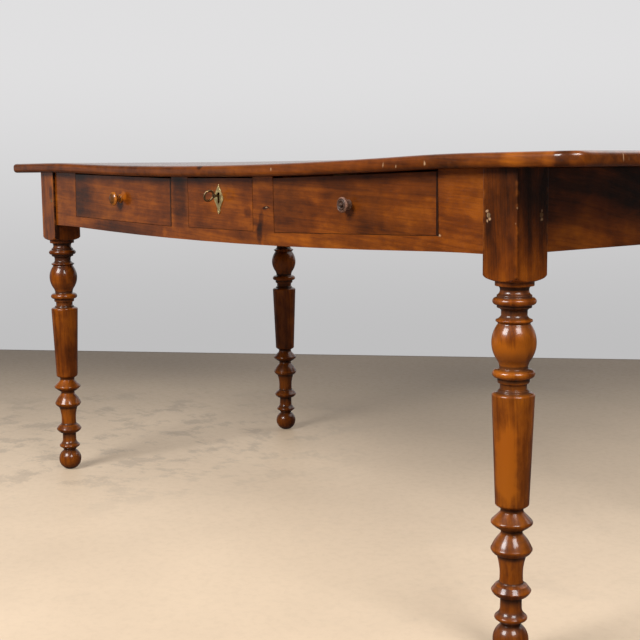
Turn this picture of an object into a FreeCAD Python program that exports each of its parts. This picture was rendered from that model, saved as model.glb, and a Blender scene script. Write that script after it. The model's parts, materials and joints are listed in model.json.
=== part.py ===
# Walnut writing table with turned legs, three drawers in a notched front board and a till lock.
# Millimetres. The origin is on the floor under the middle of the table, the front faces -Y and +Z is up.
import os
import re

import FreeCAD
import Part
import Sketcher

NODE_FOLDER = "parts"

# Driving dimensions. Every other size and place is worked out from these by formula.
SIZES = {
    # the whole table
    "table_height": 760,
    # the top: three boards, sagging at the front edge between the legs
    "top_length": 1770,
    "top_width": 790,
    "top_thickness": 22,
    "top_left_corner_radius": 14,
    "top_right_corner_radius": 36,
    "top_edge_radius": 8,
    "middle_board_width": 250,
    "front_sag": 12,
    # legs and their joints
    "leg_inset_length": 150,
    "leg_inset_width": 56,
    "block_size": 67,
    "block_length": 151,
    "tenon_thickness": 10,
    "tenon_length": 30,
    "tenon_shoulder": 9,
    "peg_radius": 3.9,
    "peg_length": 44,
    "peg_edge_distance": 12,
    "end_peg_distance": 16,
    "peg_drop": 68,
    "peg_stand": 0.3,
    # the boards under the top
    "apron_thickness": 24,
    "apron_height": 125.5,
    "end_apron_height": 123,
    "apron_setback": 5,
    "rail_height": 25,
    # the row of drawers
    "drawer_row_offset": 4,
    "end_stile_width": 100.5,
    "post_width": 67,
    "middle_drawer_width": 222,
    "drawer_length": 520,
    "drawer_front_height": 98,
    "drawer_front_thickness": 22,
    "drawer_side_gap": 1,
    "drawer_foot_gap": 0.5,
    "drawer_side_thickness": 11,
    "drawer_back_thickness": 11,
    "drawer_bottom_thickness": 8,
    "drawer_bottom_height": 8,
    "groove_depth": 5,
    "side_relief": 2,
    "back_relief": 10,
    "front_lap": 6,
    # what carries and guides the drawers
    "runner_thickness": 18,
    "outer_runner_width": 40,
    "runner_reach": 20,
    "runner_clearance": 0.3,
    "runner_housing": 6,
    "guide_height": 26,
    "guide_width": 14,
    "guide_clearance": 1.6,
    "stop_length": 18,
    "stop_width": 12,
    "stop_height": 14,
    "stop_clearance": 0.3,
    # what holds the top down
    "fixing_block_length": 60,
    "fixing_block_size": 30,
    "end_block_inset": 89,
    "rear_block_inset": 285,
    "screw_shank_radius": 2.2,
    "screw_head_radius": 4.4,
    "screw_head_height": 3,
    "screw_length": 42,
    "fit_clearance": 0.05,
    # the two unlike knobs
    "left_knob_radius": 13.6,
    "left_knob_length": 24.5,
    "right_knob_radius": 12,
    "right_knob_length": 20,
    "knob_spigot_radius": 5,
    # the lock, its bolt and its key
    "key_height": 64.5,
    "keyhole_radius": 4.1,
    "keyhole_rise": 2.5,
    "keyhole_slot_width": 6.2,
    "keyhole_foot_radius": 3.7,
    "keyhole_length": 22,
    "lock_case_width": 60,
    "lock_case_drop": 57,
    "lock_case_depth": 11,
    "lock_wall": 1.6,
    "lock_plate_thickness": 2,
    "lock_plate_margin": 7,
    "bolt_width": 18,
    "bolt_thickness": 4,
    "bolt_length": 26,
    "bolt_travel": 8,
    "bolt_clearance": 0.4,
    "bolt_rest_depth": 0.5,
    "small_screw_shank_radius": 1.1,
    "small_screw_head_radius": 2.4,
    "small_screw_head_height": 1.2,
    "small_screw_length": 7.5,
    "key_shank_radius": 2.6,
    "key_shank_out": 13,
    "key_collar_radius": 4.2,
    "key_collar_length": 3,
    "key_bit_reach": 11,
    "key_bit_width": 3,
    "key_bit_thickness": 2.4,
    "key_bow_radius": 10.2,
    "key_bow_wire": 2.1,
    "key_turn": 20,
    # the keyhole plate on the front
    "escutcheon_height": 57,
    "escutcheon_width": 32,
    "escutcheon_thickness": 1.6,
    "escutcheon_drop": 7,
    "escutcheon_pin_radius": 0.9,
    "escutcheon_pin_head_radius": 1.5,
    "escutcheon_pin_head_height": 0.7,
    "escutcheon_pin_length": 8,
    # the plate in the top that the bolt rises into
    "strike_length": 52,
    "strike_width": 16,
    "strike_thickness": 2,
    "bore_overrun": 1,
}

# The sag is one long arc between two short reversed ones, and this is how far the long one reaches.
SAG_ARC_SHARE = 0.8
# The sag left at the joint between the front and the middle board of the top.
SAG_MIDDLE_SHARE = 0.5

# Named places and sizes that follow from the driving dimensions.
WORKED = {
    "leg_height": "table_height - top_thickness",
    "turning_length": "leg_height - block_length",
    "half_block": "block_size / 2",
    "leg_x": "top_length / 2 - leg_inset_length",
    "leg_y": "top_width / 2 - leg_inset_width",
    "end_block_spacing": "leg_y - end_block_inset",
    "rear_block_spacing": "leg_x - rear_block_inset",
    "front_face": "-leg_y - half_block + apron_setback",
    "front_inside": "front_face + apron_thickness",
    "rear_face": "leg_y + half_block - apron_setback",
    "rear_inside": "rear_face - apron_thickness",
    "end_face": "leg_x + half_block - apron_setback",
    "end_inside": "end_face - apron_thickness",
    "block_inside_x": "leg_x - half_block",
    "block_inside_y": "leg_y - half_block",
    "post_far_side": "middle_drawer_width / 2 + post_width",
    "side_drawer_width": "block_inside_x - end_stile_width - post_far_side",
    "side_drawer_spacing": "post_far_side + side_drawer_width / 2",
    "sag_end": "block_inside_x",
    "sag_arc": f"sag_end * {SAG_ARC_SHARE}",
    "apron_bottom": "leg_height - apron_height",
    "side_height": "drawer_front_height - side_relief",
    "panel_top": "drawer_bottom_height + drawer_bottom_thickness",
    "middle_board_front": "-middle_board_width / 2",
    "middle_board_back": "middle_board_front + middle_board_width",
    "top_gap": "apron_height - rail_height - drawer_foot_gap - drawer_front_height",
    "lock_top": "drawer_front_height",
    "lock_bottom": "lock_top - lock_case_drop",
    "lock_back": "drawer_front_thickness - lock_plate_thickness",
    "lock_front": "lock_back - lock_case_depth",
    "selvedge": "lock_top - lock_plate_thickness",
    "bolt_y": "lock_back - lock_wall - bolt_thickness / 2",
    "bolt_hole_width": "bolt_width + 2 * bolt_clearance",
    "bolt_hole_thickness": "bolt_thickness + 2 * bolt_clearance",
    "half_plate": "lock_case_width / 2 + lock_plate_margin",
    "mortise_depth": "bolt_travel + strike_thickness",
}

# The sizes that each kind of screw has a cell for.
SCREW_PARTS = ("shank_radius", "head_radius", "head_height", "length")

# The leg's outline from the foot up. Each row is a radius as a share of half the block, a height as a
# share of the turned length, and how far the stretch that follows swells, as a share of half its chord.
TURNING_SHARES = (
    (0.224, 0.000, 0.65),  # flat under the ball foot, and the ball
    (0.430, 0.0835, 0),
    (0.495, 0.0900, 0),
    (0.700, 0.0980, 0.55),  # lowest ring
    (0.680, 0.1085, 0),
    (0.640, 0.1110, -0.22),
    (0.490, 0.1300, 0),
    (0.485, 0.1545, 0),
    (0.505, 0.1570, 0.25),  # second ring, round below and sloped above
    (0.885, 0.1740, 0.5),
    (0.880, 0.1785, 0),
    (0.730, 0.1900, 0),
    (0.560, 0.1965, -0.1),
    (0.530, 0.2050, -0.1),
    (0.660, 0.2680, 0),
    (0.680, 0.2700, 0.2),  # third ring, an upturned cup
    (0.915, 0.2825, 0.4),
    (0.915, 0.2900, 0.06),
    (0.690, 0.3135, 0),
    (0.500, 0.3265, 0),
    (0.480, 0.3350, 0.06),  # ring under the shaft
    (0.900, 0.3520, 0.5),
    (0.895, 0.3625, 0),
    (0.530, 0.3840, -0.1),
    (0.515, 0.3925, 0),
    (0.570, 0.3965, 0.15),  # the plain tapered shaft
    (0.762, 0.4040, 0),
    (0.950, 0.6855, 0.4),
    (0.880, 0.6930, 0),
    (0.700, 0.6955, 0),
    (0.680, 0.7010, 0),
    (0.592, 0.7035, 0),  # neck over the shaft
    (0.597, 0.7175, 0),
    (0.690, 0.7195, 0),
    (0.715, 0.7235, 0),
    (0.715, 0.7310, 0),
    (0.760, 0.7320, 0.92),  # ring under the bulb
    (0.780, 0.7535, 0),
    (0.630, 0.7555, 0),
    (0.627, 0.7600, -0.12),
    (0.746, 0.7775, 0.32),  # the bulb
    (0.720, 0.8690, 0),
    (0.705, 0.8715, 0),
    (0.820, 0.8765, 0),  # thin sharp ring
    (0.810, 0.8805, -0.25),
    (0.575, 0.8915, 0),
    (0.580, 0.9035, -0.2),
    (0.700, 0.9095, 0),
    (0.770, 0.9105, 0),
    (0.770, 0.9170, 0),
    (0.810, 0.9175, 0.96),  # ring under the collar
    (0.810, 0.9360, 0),
    (0.775, 0.9370, 0),
    (0.775, 0.9420, -0.5),
    (0.700, 0.9640, 0),
    (0.862, 0.9655, 0),  # collar and the rounded foot of the square block
    (0.862, 0.9765, 0.04),
    (1.260, 0.9845, 0.25),
    (1.430, 1.0000, 0),
    (1.600, 1.0000, 0),
)

# The knobs' outlines: a radius as a share of the knob's, and how far it stands out as a share.
LEFT_KNOB_SHARES = (
    (0.64, 0.00, 0.3),
    (0.62, 0.09, 0),
    (0.50, 0.11, -0.3),
    (0.46, 0.30, -0.2),
    (0.93, 0.60, 0.45),
    (0.95, 0.80, 0.19),
    (0.10, 1.00, 0),
    (0.00, 1.00, 0),
)
RIGHT_KNOB_SHARES = (
    (0.66, 0.00, 0.3),
    (0.62, 0.12, -0.2),
    (0.50, 0.38, -0.25),
    (0.90, 0.58, 0.5),
    (0.94, 0.80, 0),
    (0.82, 0.86, 0),
    (0.72, 0.80, 0.6),
    (0.44, 0.84, 0),
    (0.34, 0.78, 0.2),
    (0.16, 1.00, 0),
    (0.00, 1.00, 0),
)

# The keyhole plate's right edge from its lower tip to its upper one: shares of half its width and of
# half its height. A leaf hangs under the neck.
ESCUTCHEON_SHARES = (
    (0.00, -1.00, 0.12),
    (0.29, -0.80, 0.1),
    (0.24, -0.67, -0.04),
    (1.00, 0.00, 0.06),
    (0.22, 0.80, -0.06),
    (0.00, 1.00, 0),
)
# Where the keyhole plate's pins lie, as shares of half its width and half its height.
ESCUTCHEON_PIN_SHARE = 0.72
ESCUTCHEON_TIP_SHARE = 0.80

# Dovetails: their number and, as shares of their pitch, their width at the tip and at the shoulder.
FRONT_TAILS = 3
BACK_TAILS = 3
TAIL_TIP_SHARE = 0.68
TAIL_SHOULDER_SHARE = 0.56

# Each drawer: its middle along the row and its width.
DRAWERS = {
    "left": ("drawer_row_offset - side_drawer_spacing", "side_drawer_width"),
    "middle": ("drawer_row_offset", "middle_drawer_width"),
    "right": ("drawer_row_offset + side_drawer_spacing", "side_drawer_width"),
}

document = FreeCAD.newDocument("WritingTable")
sheet = document.addObject("Spreadsheet::Sheet", "Sizes")
for row, (alias, size) in enumerate(SIZES.items(), start=1):
    sheet.set(f"A{row}", alias)
    sheet.set(f"B{row}", str(size))
    sheet.setAlias(f"B{row}", alias)
document.recompute()

WORD = re.compile(r"[a-z][a-z_]+")
nodes = []


def cells(formula):
    """A formula in plain names, as an expression on the sheet's cells."""
    def swap(found):
        word = found.group(0)
        if word in WORKED:
            return f"({cells(WORKED[word])})"
        return f"Sizes.{word}" if word in SIZES else word
    return WORD.sub(swap, formula)


def number(formula):
    """The value that a formula has now."""
    result = sheet.evalExpression(cells(formula))
    return float(getattr(result, "Value", result))


def bind(thing, properties):
    """Bind properties to formulas."""
    for name, formula in properties.items():
        thing.setExpression(name, cells(formula))
    return thing


def mirrored(side, low, high):
    """A span of formulas on the plus or the minus side of zero."""
    return (low, high) if side > 0 else (f"-({high})", f"-({low})")


def mirrored_pair(half):
    """A span from minus to plus a half length."""
    return (f"-({half})", half)


def centred(width, middle="0"):
    """A span of a given width about a middle."""
    return (f"{middle} - ({width}) / 2", f"{middle} + ({width}) / 2")


def box(name, across, along, upward):
    """A box given by its spans along X, Y and Z."""
    solid = document.addObject("Part::Box", name)
    for side, axis, (low, high) in (("Length", "x", across), ("Width", "y", along), ("Height", "z", upward)):
        bind(solid, {side: f"({high}) - ({low})", f"Placement.Base.{axis}": low})
    return solid


def rod(name, radius, start, reach, direction):
    """A cylinder from a start point, given by three formulas, along a direction."""
    solid = document.addObject("Part::Cylinder", name)
    solid.Placement.Rotation = FreeCAD.Rotation(FreeCAD.Vector(0, 0, 1), FreeCAD.Vector(*direction))
    bind(solid, {"Radius": radius, "Height": reach})
    return bind(solid, {f"Placement.Base.{axis}": place for axis, place in zip("xyz", start)})


def joined(name, *solids):
    """Solids fused into one, or the only one itself."""
    if len(solids) == 1:
        return solids[0]
    whole = document.addObject("Part::MultiFuse", name)
    whole.Shapes = list(solids)
    return whole


def cut(name, base, *tools):
    """A solid with tools cut out of it."""
    result = document.addObject("Part::Cut", name)
    result.Base = base
    result.Tool = joined(f"{name}_tools", *tools)
    return result


def grouped(name, *solids):
    """Separate solids as one group."""
    group = document.addObject("Part::Compound", name)
    group.Links = list(solids)
    return group


def node(label, thing):
    """Give a finished sub-part its label."""
    thing.Label = label
    nodes.append(thing)
    return thing


def outline(name, rows):
    """A closed sketch through rows of x, y and the swell of the stretch that follows, all formulas.

    A swell is a share of half the stretch's chord and lies to the right of the way along.
    """
    sketch = document.addObject("Sketcher::SketchObject", name)
    places = [FreeCAD.Vector(number(x), number(y), 0) for x, y, _ in rows]
    ends = []
    rules = []
    formulas = {}

    def rule(kind, *details, formula=None):
        if formula is not None:
            formulas[len(rules)] = formula
        rules.append(Sketcher.Constraint(kind, *details))

    for index, (x, y, swell) in enumerate(rows):
        follows = (index + 1) % len(rows)
        start, stop = places[index], places[follows]
        if swell == "0":
            sketch.addGeometry(Part.LineSegment(start, stop))
            ends.append((1, 2))
            continue
        chord = stop - start
        aside = FreeCAD.Vector(chord.y, -chord.x, 0) * (number(swell) / 2)
        sketch.addGeometry(Part.Arc(start, (start + stop) / 2 + aside, stop))
        ends.append((1, 2) if number(swell) > 0 else (2, 1))
        across = f"({rows[follows][0]} - ({x}))^2 + ({rows[follows][1]} - ({y}))^2"
        radius = f"sqrt({across}) * (1 + ({swell})^2) / (4 * abs({swell}))"
        rule("Radius", index, number(radius), formula=radius)
    for index, (x, y, _) in enumerate(rows):
        first, last = ends[index]
        follows = (index + 1) % len(rows)
        rule("Coincident", index, last, follows, ends[follows][0])
        rule("DistanceX", -1, 1, index, first, places[index].x, formula=x)
        rule("DistanceY", -1, 1, index, first, places[index].y, formula=y)
    sketch.addConstraint(rules)
    for index, formula in formulas.items():
        bind(sketch, {f"Constraints[{index}]": formula})
    return sketch


def upright(sketch):
    """Stand a sketch up in the XZ plane."""
    sketch.Placement.Rotation = FreeCAD.Rotation(FreeCAD.Vector(1, 0, 0), 90)
    return sketch


def turned(name, rows, axis):
    """A solid turned from a closed outline of radius and height about its own Y line, set on an axis."""
    solid = document.addObject("Part::Revolution", name)
    sketch = outline(f"{name}_outline", rows)
    solid.Source = upright(sketch) if axis.z else sketch
    solid.Axis = axis
    solid.Angle = 360
    solid.Solid = True
    return solid


def raised(name, sketch, direction, reach):
    """A solid pulled from a sketch along a direction."""
    solid = document.addObject("Part::Extrusion", name)
    solid.Base = sketch
    solid.DirMode = "Custom"
    solid.Dir = FreeCAD.Vector(*direction)
    solid.Solid = True
    return bind(solid, {"LengthFwd": reach})


def sag_depth(x):
    """How far the long arc of the sag lies under the straight line at x."""
    return f"(front_sag - ({x})^2 * front_sag / (sag_end * sag_arc))"


def sag_turn(x):
    """The slope of the sag at x, as a turn about the Y axis."""
    return f"(-1) * atan(2 * front_sag * ({x}) / (sag_end * sag_arc))"


def sag_rows(height, share, leftward=False):
    """The sagging line at a height, between the blocks, as four rows of an outline."""
    drop = f"front_sag * {share} * {1 - SAG_ARC_SHARE}"
    places = [("-sag_end", height), ("-sag_arc", f"{height} - {drop}")]
    places += [("sag_arc", f"{height} - {drop}"), ("sag_end", height)]
    turn = -1 if leftward else 1
    short = f"{-turn} * front_sag * {share} / (2 * sag_end)" if share else "0"
    long = f"{turn} * front_sag * {share} / sag_end" if share else "0"
    swells = [short, long, short, "0"]
    if leftward:
        places.reverse()
    return [(x, y, swell) for (x, y), swell in zip(places, swells)]


def top_section(name, y, share):
    """The top's cross-section at y, with a share of the front's sag."""
    half = "top_length / 2"
    rows = [(f"-{half}", "leg_height", "0"), *sag_rows("leg_height", share)]
    rows += [(half, "leg_height", "0"), (half, "table_height", "0")]
    rows += [*sag_rows("table_height", share, leftward=True), (f"-{half}", "table_height", "0")]
    return bind(upright(outline(name, rows)), {"Placement.Base.y": y})


def on_rim(point):
    """Whether a point lies on the outer edge of the top, in plan."""
    radius = number("top_right_corner_radius" if point.x > 0 else "top_left_corner_radius")
    beyond_x = max(abs(point.x) - number("top_length / 2") + radius, 0)
    beyond_y = max(abs(point.y) - number("top_width / 2") + radius, 0)
    return abs((beyond_x ** 2 + beyond_y ** 2) ** 0.5 - radius) < number("fit_clearance")


def edges_where(shape, wanted):
    """Names of a shape's edges whose middle and direction pass a test."""
    found = []
    for index, edge in enumerate(shape.Edges, start=1):
        middle = edge.valueAt((edge.FirstParameter + edge.LastParameter) / 2)
        rises = abs(edge.Vertexes[0].Z - edge.Vertexes[-1].Z) > number("top_thickness / 2")
        if wanted(middle, rises):
            found.append(f"Edge{index}")
    return found


def rounded(body, name, radius, wanted):
    """Round edges of a body's last feature."""
    document.recompute()
    last = body.Group[-1]
    fillet = body.newObject("PartDesign::Fillet", name)
    fillet.Base = (last, edges_where(last.Shape, wanted))
    return bind(fillet, {"Radius": radius})


def top_board(name, sections, has_corners):
    """A board of the top, from its cross-sections, with its corners and its rim rounded."""
    blank = document.addObject("Part::Loft", f"{name}_blank")
    blank.Sections = [top_section(f"{name}_section_{index}", *section)
                      for index, section in enumerate(sections)]
    blank.Solid = True
    blank.Ruled = True
    body = document.addObject("PartDesign::Body", f"{name}_body")
    body.BaseFeature = blank
    if has_corners:
        reach = number("top_length / 2 - top_edge_radius")
        edge_y = number("top_width / 2 - top_edge_radius")

        for label, side in (("left", -1), ("right", 1)):
            def at_corner(point, rises, side=side):
                return rises and side * point.x > reach and abs(point.y) > edge_y
            rounded(body, f"{name}_{label}_corner", f"top_{label}_corner_radius", at_corner)

    def on_outer_edge(point, rises):
        return not rises and on_rim(point)
    rounded(body, f"{name}_rim", "top_edge_radius", on_outer_edge)
    return body


def build_top(screw_bores, strike_bores):
    """The three boards of the top."""
    front_edge = "-top_width / 2"
    front = top_board("front_board", [
        (front_edge, 1), ("front_inside", 1), ("middle_board_front", SAG_MIDDLE_SHARE)], True)
    middle = top_board("middle_board", [
        ("middle_board_front", SAG_MIDDLE_SHARE), ("middle_board_back", 0)], False)
    rear = top_board("rear_board", [("middle_board_back", 0), ("top_width / 2", 0)], True)
    node("front_top_board", cut("front_top", front, *screw_bores["front"], *strike_bores))
    node("middle_top_board", cut("middle_top", middle, *screw_bores["middle"]))
    node("rear_top_board", cut("rear_top", rear, *screw_bores["rear"]))


def tenon_height(height):
    """The span of a tenon's height on an apron of a given height."""
    return (f"leg_height - {height} + tenon_shoulder", "leg_height - tenon_shoulder")


# The middle planes of the tenons, measured from the leg's axis towards the outside.
TENON_OFFSET = "half_block - apron_setback - apron_thickness / 2"
APRON_MIDDLE_Y = f"leg_y + {TENON_OFFSET}"
APRON_MIDDLE_X = f"leg_x + {TENON_OFFSET}"


def long_tenon(name, side_x, side_y):
    """A tenon at an end of the front or rear apron."""
    across = mirrored(side_x, "block_inside_x", "block_inside_x + tenon_length")
    along = centred("tenon_thickness", f"{side_y} * ({APRON_MIDDLE_Y})")
    return box(name, across, along, tenon_height("apron_height"))


def end_tenon(name, side_x, side_y):
    """A tenon at an end of a left or right apron."""
    across = centred("tenon_thickness", f"{side_x} * ({APRON_MIDDLE_X})")
    along = mirrored(side_y, "block_inside_y", "block_inside_y + tenon_length")
    return box(name, across, along, tenon_height("end_apron_height"))


def pegs(name, side_x, side_y, widening):
    """The two pegs through a leg's tenons, from the outer faces inwards."""
    radius = f"peg_radius + {widening}"
    height = "leg_height - peg_drop"
    from_front = (f"{side_x} * (block_inside_x + peg_edge_distance)",
                  f"{side_y} * (leg_y + half_block + peg_stand)", height)
    from_end = (f"{side_x} * (leg_x + half_block + peg_stand)",
                f"{side_y} * (block_inside_y + end_peg_distance)", height)
    return [rod(f"{name}_long", radius, from_front, "peg_length", (0, -side_y, 0)),
            rod(f"{name}_end", radius, from_end, "peg_length", (-side_x, 0, 0))]


LEGS = {
    "front_left_leg": (-1, -1),
    "front_right_leg": (1, -1),
    "rear_left_leg": (-1, 1),
    "rear_right_leg": (1, 1),
}


def build_legs():
    """Four legs, each turned from a square length that keeps its block at the top."""
    rows = [(f"half_block * {radius}", f"turning_length * {height}", str(swell))
            for radius, height, swell in TURNING_SHARES]
    widest = rows[-1][0]
    rows = [("0", "0", "0"), *rows, (widest, "leg_height", "0"), ("0", "leg_height", "0")]
    turning = turned("leg_turning", rows, FreeCAD.Vector(0, 0, 1))
    peg_solids = []
    peg_bores = {}
    for label, (side_x, side_y) in LEGS.items():
        middle_x, middle_y = f"{side_x} * leg_x", f"{side_y} * leg_y"
        square = box(f"{label}_square", centred("block_size", middle_x), centred("block_size", middle_y),
                     ("0", "leg_height"))
        placed = grouped(f"{label}_turning", turning)
        bind(placed, {"Placement.Base.x": middle_x, "Placement.Base.y": middle_y})
        blank = document.addObject("Part::Common", f"{label}_blank")
        blank.Base = square
        blank.Tool = placed
        bores = pegs(f"{label}_peg_bore", side_x, side_y, "fit_clearance")
        peg_bores[label] = bores
        mortises = [long_tenon(f"{label}_long_mortise", side_x, side_y),
                    end_tenon(f"{label}_end_mortise", side_x, side_y)]
        node(label, cut(f"{label}_cut", blank, *mortises, *bores))
        peg_solids += pegs(f"{label}_peg", side_x, side_y, "0")
    node("joint_pegs", grouped("joint_pegs_group", *peg_solids))
    return peg_bores


def seated(name, drawer, *solids, up="0", turn=None):
    """Solids made about a drawer's front bottom middle, set where that drawer lies in the sag."""
    middle, _ = DRAWERS[drawer]
    tilt = sag_turn(middle)
    base = f"apron_bottom + rail_height + drawer_foot_gap - {sag_depth(middle)}"
    group = grouped(name, *solids)
    angle = f"{tilt} + {turn}" if turn else tilt
    group.Placement.Rotation = FreeCAD.Rotation(FreeCAD.Vector(0, 1, 0), number(angle))
    return bind(group, {
        "Placement.Base.x": f"{middle} + ({up}) * sin({tilt})",
        "Placement.Base.y": "front_face",
        "Placement.Base.z": f"{base} + ({up}) * cos({tilt})",
        "Placement.Rotation.Angle": angle,
    })


def drawer_level(drawer, from_middle):
    """The height of a drawer's bottom edge at a distance along it."""
    middle, _ = DRAWERS[drawer]
    base = f"apron_bottom + rail_height + drawer_foot_gap - {sag_depth(middle)}"
    return f"({base} - ({from_middle}) * sin({sag_turn(middle)}))"


def build_runners():
    """Runners, guides and stops: one runner under each outer end, one under each pair of neighbours."""
    runners = []
    along = ("front_inside - runner_housing", "rear_inside + runner_housing")
    guide_along = ("front_inside", "rear_inside")
    stop_front = "front_face + drawer_length + stop_clearance"
    stop_along = (stop_front, f"{stop_front} + stop_length")
    stops = []
    for name, side in (("left", -1), ("right", 1)):
        middle, width = DRAWERS[name]
        outer_edge = f"{middle} + {side} * ({width}) / 2"
        inner_edge = f"{middle} - {side} * ({width}) / 2"
        till_edge = f"drawer_row_offset + {side} * middle_drawer_width / 2"
        within = f"({width} / 2 - drawer_side_thickness)"
        outer_top = f"({drawer_level(name, f'{side} * {within}')} - runner_clearance)"
        low_corner = drawer_level(name, f"{-side} * {width} / 2")
        till_corner = drawer_level("middle", f"{side} * middle_drawer_width / 2")
        shared_top = f"(min({low_corner}; {till_corner}) - runner_clearance)"

        def between(first, second, order=side):
            return (first, second) if order > 0 else (second, first)

        outer_across = between(f"{outer_edge} - {side} * runner_reach",
                               f"{outer_edge} + {side} * (outer_runner_width - runner_reach)")
        runners.append(node(f"{name}_outer_runner", box(
            f"{name}_outer_run", outer_across, along, (f"{outer_top} - runner_thickness", outer_top))))
        shared_across = between(f"{till_edge} - {side} * runner_reach",
                                f"{inner_edge} + {side} * runner_reach")
        runners.append(node(f"{name}_middle_runner", box(
            f"{name}_middle_run", shared_across, along, (f"{shared_top} - runner_thickness", shared_top))))
        guide_start = f"{outer_edge} + {side} * guide_clearance"
        node(f"{name}_outer_guide", box(
            f"{name}_outer_rub", between(guide_start, f"{guide_start} + {side} * guide_width"), guide_along,
            (outer_top, f"{outer_top} + guide_height")))
        node(f"{name}_middle_guide", box(
            f"{name}_middle_rub",
            between(f"{till_edge} + {side} * guide_clearance", f"{inner_edge} - {side} * guide_clearance"),
            guide_along, (shared_top, f"{shared_top} + guide_height")))
        for stop, edge, inward, top in (("outer", outer_edge, -side, outer_top),
                                        ("inner", inner_edge, side, shared_top),
                                        ("till", till_edge, -side, shared_top)):
            across = between(edge, f"{edge} + {inward} * stop_width", inward)
            stops.append(box(f"{name}_{stop}_stop", across, stop_along, (top, f"{top} + stop_height")))
    node("drawer_stops", grouped("drawer_stops_group", *stops))
    return runners


def build_front_apron(runners, peg_bores):
    """The front board: sagging edges, a notch for each drawer and a tenon at each end."""
    rows = [*sag_rows("apron_bottom", 1), *sag_rows("leg_height", 1, leftward=True)]
    sketch = bind(upright(outline("front_apron_outline", rows)), {"Placement.Base.y": "front_face"})
    board = raised("front_apron_board", sketch, (0, 1, 0), "apron_thickness")
    tenons = [long_tenon("front_apron_tenon", side, -1) for side in (-1, 1)]
    notches = []
    for name, (_, width) in DRAWERS.items():
        notch = box(f"{name}_notch_box", centred(f"{width} + 2 * drawer_side_gap"),
                    ("-bore_overrun", "apron_thickness + bore_overrun"),
                    ("-drawer_foot_gap", "drawer_front_height + apron_height"))
        notches.append(seated(f"{name}_notch", name, notch))
    bores = peg_bores["front_left_leg"][:1] + peg_bores["front_right_leg"][:1]
    whole = joined("front_apron_whole", board, *tenons)
    node("front_apron", cut("front_apron_cut", whole, *notches, *bores, *runners))


def build_other_aprons(runners, peg_bores):
    """The rear board and the two end boards, with their tenons."""
    board = box("rear_apron_board", mirrored_pair("block_inside_x"), ("rear_inside", "rear_face"),
                ("apron_bottom", "leg_height"))
    tenons = [long_tenon("rear_apron_tenon", side, 1) for side in (-1, 1)]
    bores = peg_bores["rear_left_leg"][:1] + peg_bores["rear_right_leg"][:1]
    whole = joined("rear_apron_whole", board, *tenons)
    node("rear_apron", cut("rear_apron_cut", whole, *bores, *runners))
    for label, side in (("left", -1), ("right", 1)):
        board = box(f"{label}_apron_board", mirrored(side, "end_inside", "end_face"),
                    mirrored_pair("block_inside_y"), ("leg_height - end_apron_height", "leg_height"))
        tenons = [end_tenon(f"{label}_apron_tenon", side, end) for end in (-1, 1)]
        bores = peg_bores[f"front_{label}_leg"][1:] + peg_bores[f"rear_{label}_leg"][1:]
        whole = joined(f"{label}_apron_whole", board, *tenons)
        node(f"{label}_apron", cut(f"{label}_apron_cut", whole, *bores))


def countersunk(name, size, start, direction):
    """A screw whose head starts at a point, and the hole that it needs."""
    shank_radius, head_radius, head_height, length = (f"{size}_{part}" for part in SCREW_PARTS)
    cone = document.addObject("Part::Cone", f"{name}_head")
    cone.Placement.Rotation = FreeCAD.Rotation(FreeCAD.Vector(0, 0, 1), FreeCAD.Vector(*direction))
    bind(cone, {"Radius1": head_radius, "Radius2": shank_radius, "Height": head_height})
    bind(cone, {f"Placement.Base.{axis}": place for axis, place in zip("xyz", start)})
    shank = rod(f"{name}_shank", shank_radius, start, length, direction)
    bore = rod(f"{name}_bore", f"{shank_radius} + fit_clearance", start, f"{length} + fit_clearance",
               direction)
    sink = document.addObject("Part::Cone", f"{name}_sink")
    sink.Placement.Rotation = cone.Placement.Rotation
    bind(sink, {"Radius1": f"{head_radius} + fit_clearance", "Radius2": f"{shank_radius} + fit_clearance",
                "Height": head_height})
    bind(sink, {f"Placement.Base.{axis}": place for axis, place in zip("xyz", start)})
    return joined(f"{name}_screw", cone, shank), joined(f"{name}_hole", bore, sink)


def build_fixings():
    """Glued blocks inside the aprons, each with a screw up into the top."""
    blocks = []
    screws = []
    bores = {"front": [], "middle": [], "rear": []}
    places = []
    boards = {-1: "front", 0: "middle", 1: "rear"}
    for side in (-1, 1):
        for row, board in boards.items():
            across = mirrored(side, "end_inside - fixing_block_size", "end_inside")
            along = centred("fixing_block_length", f"{row} * end_block_spacing")
            places.append((board, across, along))
    for row in (-1, 0, 1):
        across = centred("fixing_block_length", f"{row} * rear_block_spacing")
        places.append(("rear", across, ("rear_inside - fixing_block_size", "rear_inside")))
    for index, (board, across, along) in enumerate(places):
        block = box(f"fixing_block_{index}", across, along, ("leg_height - fixing_block_size", "leg_height"))
        start = (f"({across[0]} + {across[1]}) / 2", f"({along[0]} + {along[1]}) / 2",
                 "leg_height - fixing_block_size")
        screw, hole = countersunk(f"top_fixing_{index}", "screw", start, (0, 0, 1))
        blocks.append(cut(f"fixing_block_{index}_cut", block, hole))
        screws.append(screw)
        bores[board].append(hole)
    node("fixing_blocks", grouped("fixing_blocks_group", *blocks))
    node("top_screws", grouped("top_screws_group", *screws))
    return bores


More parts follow.
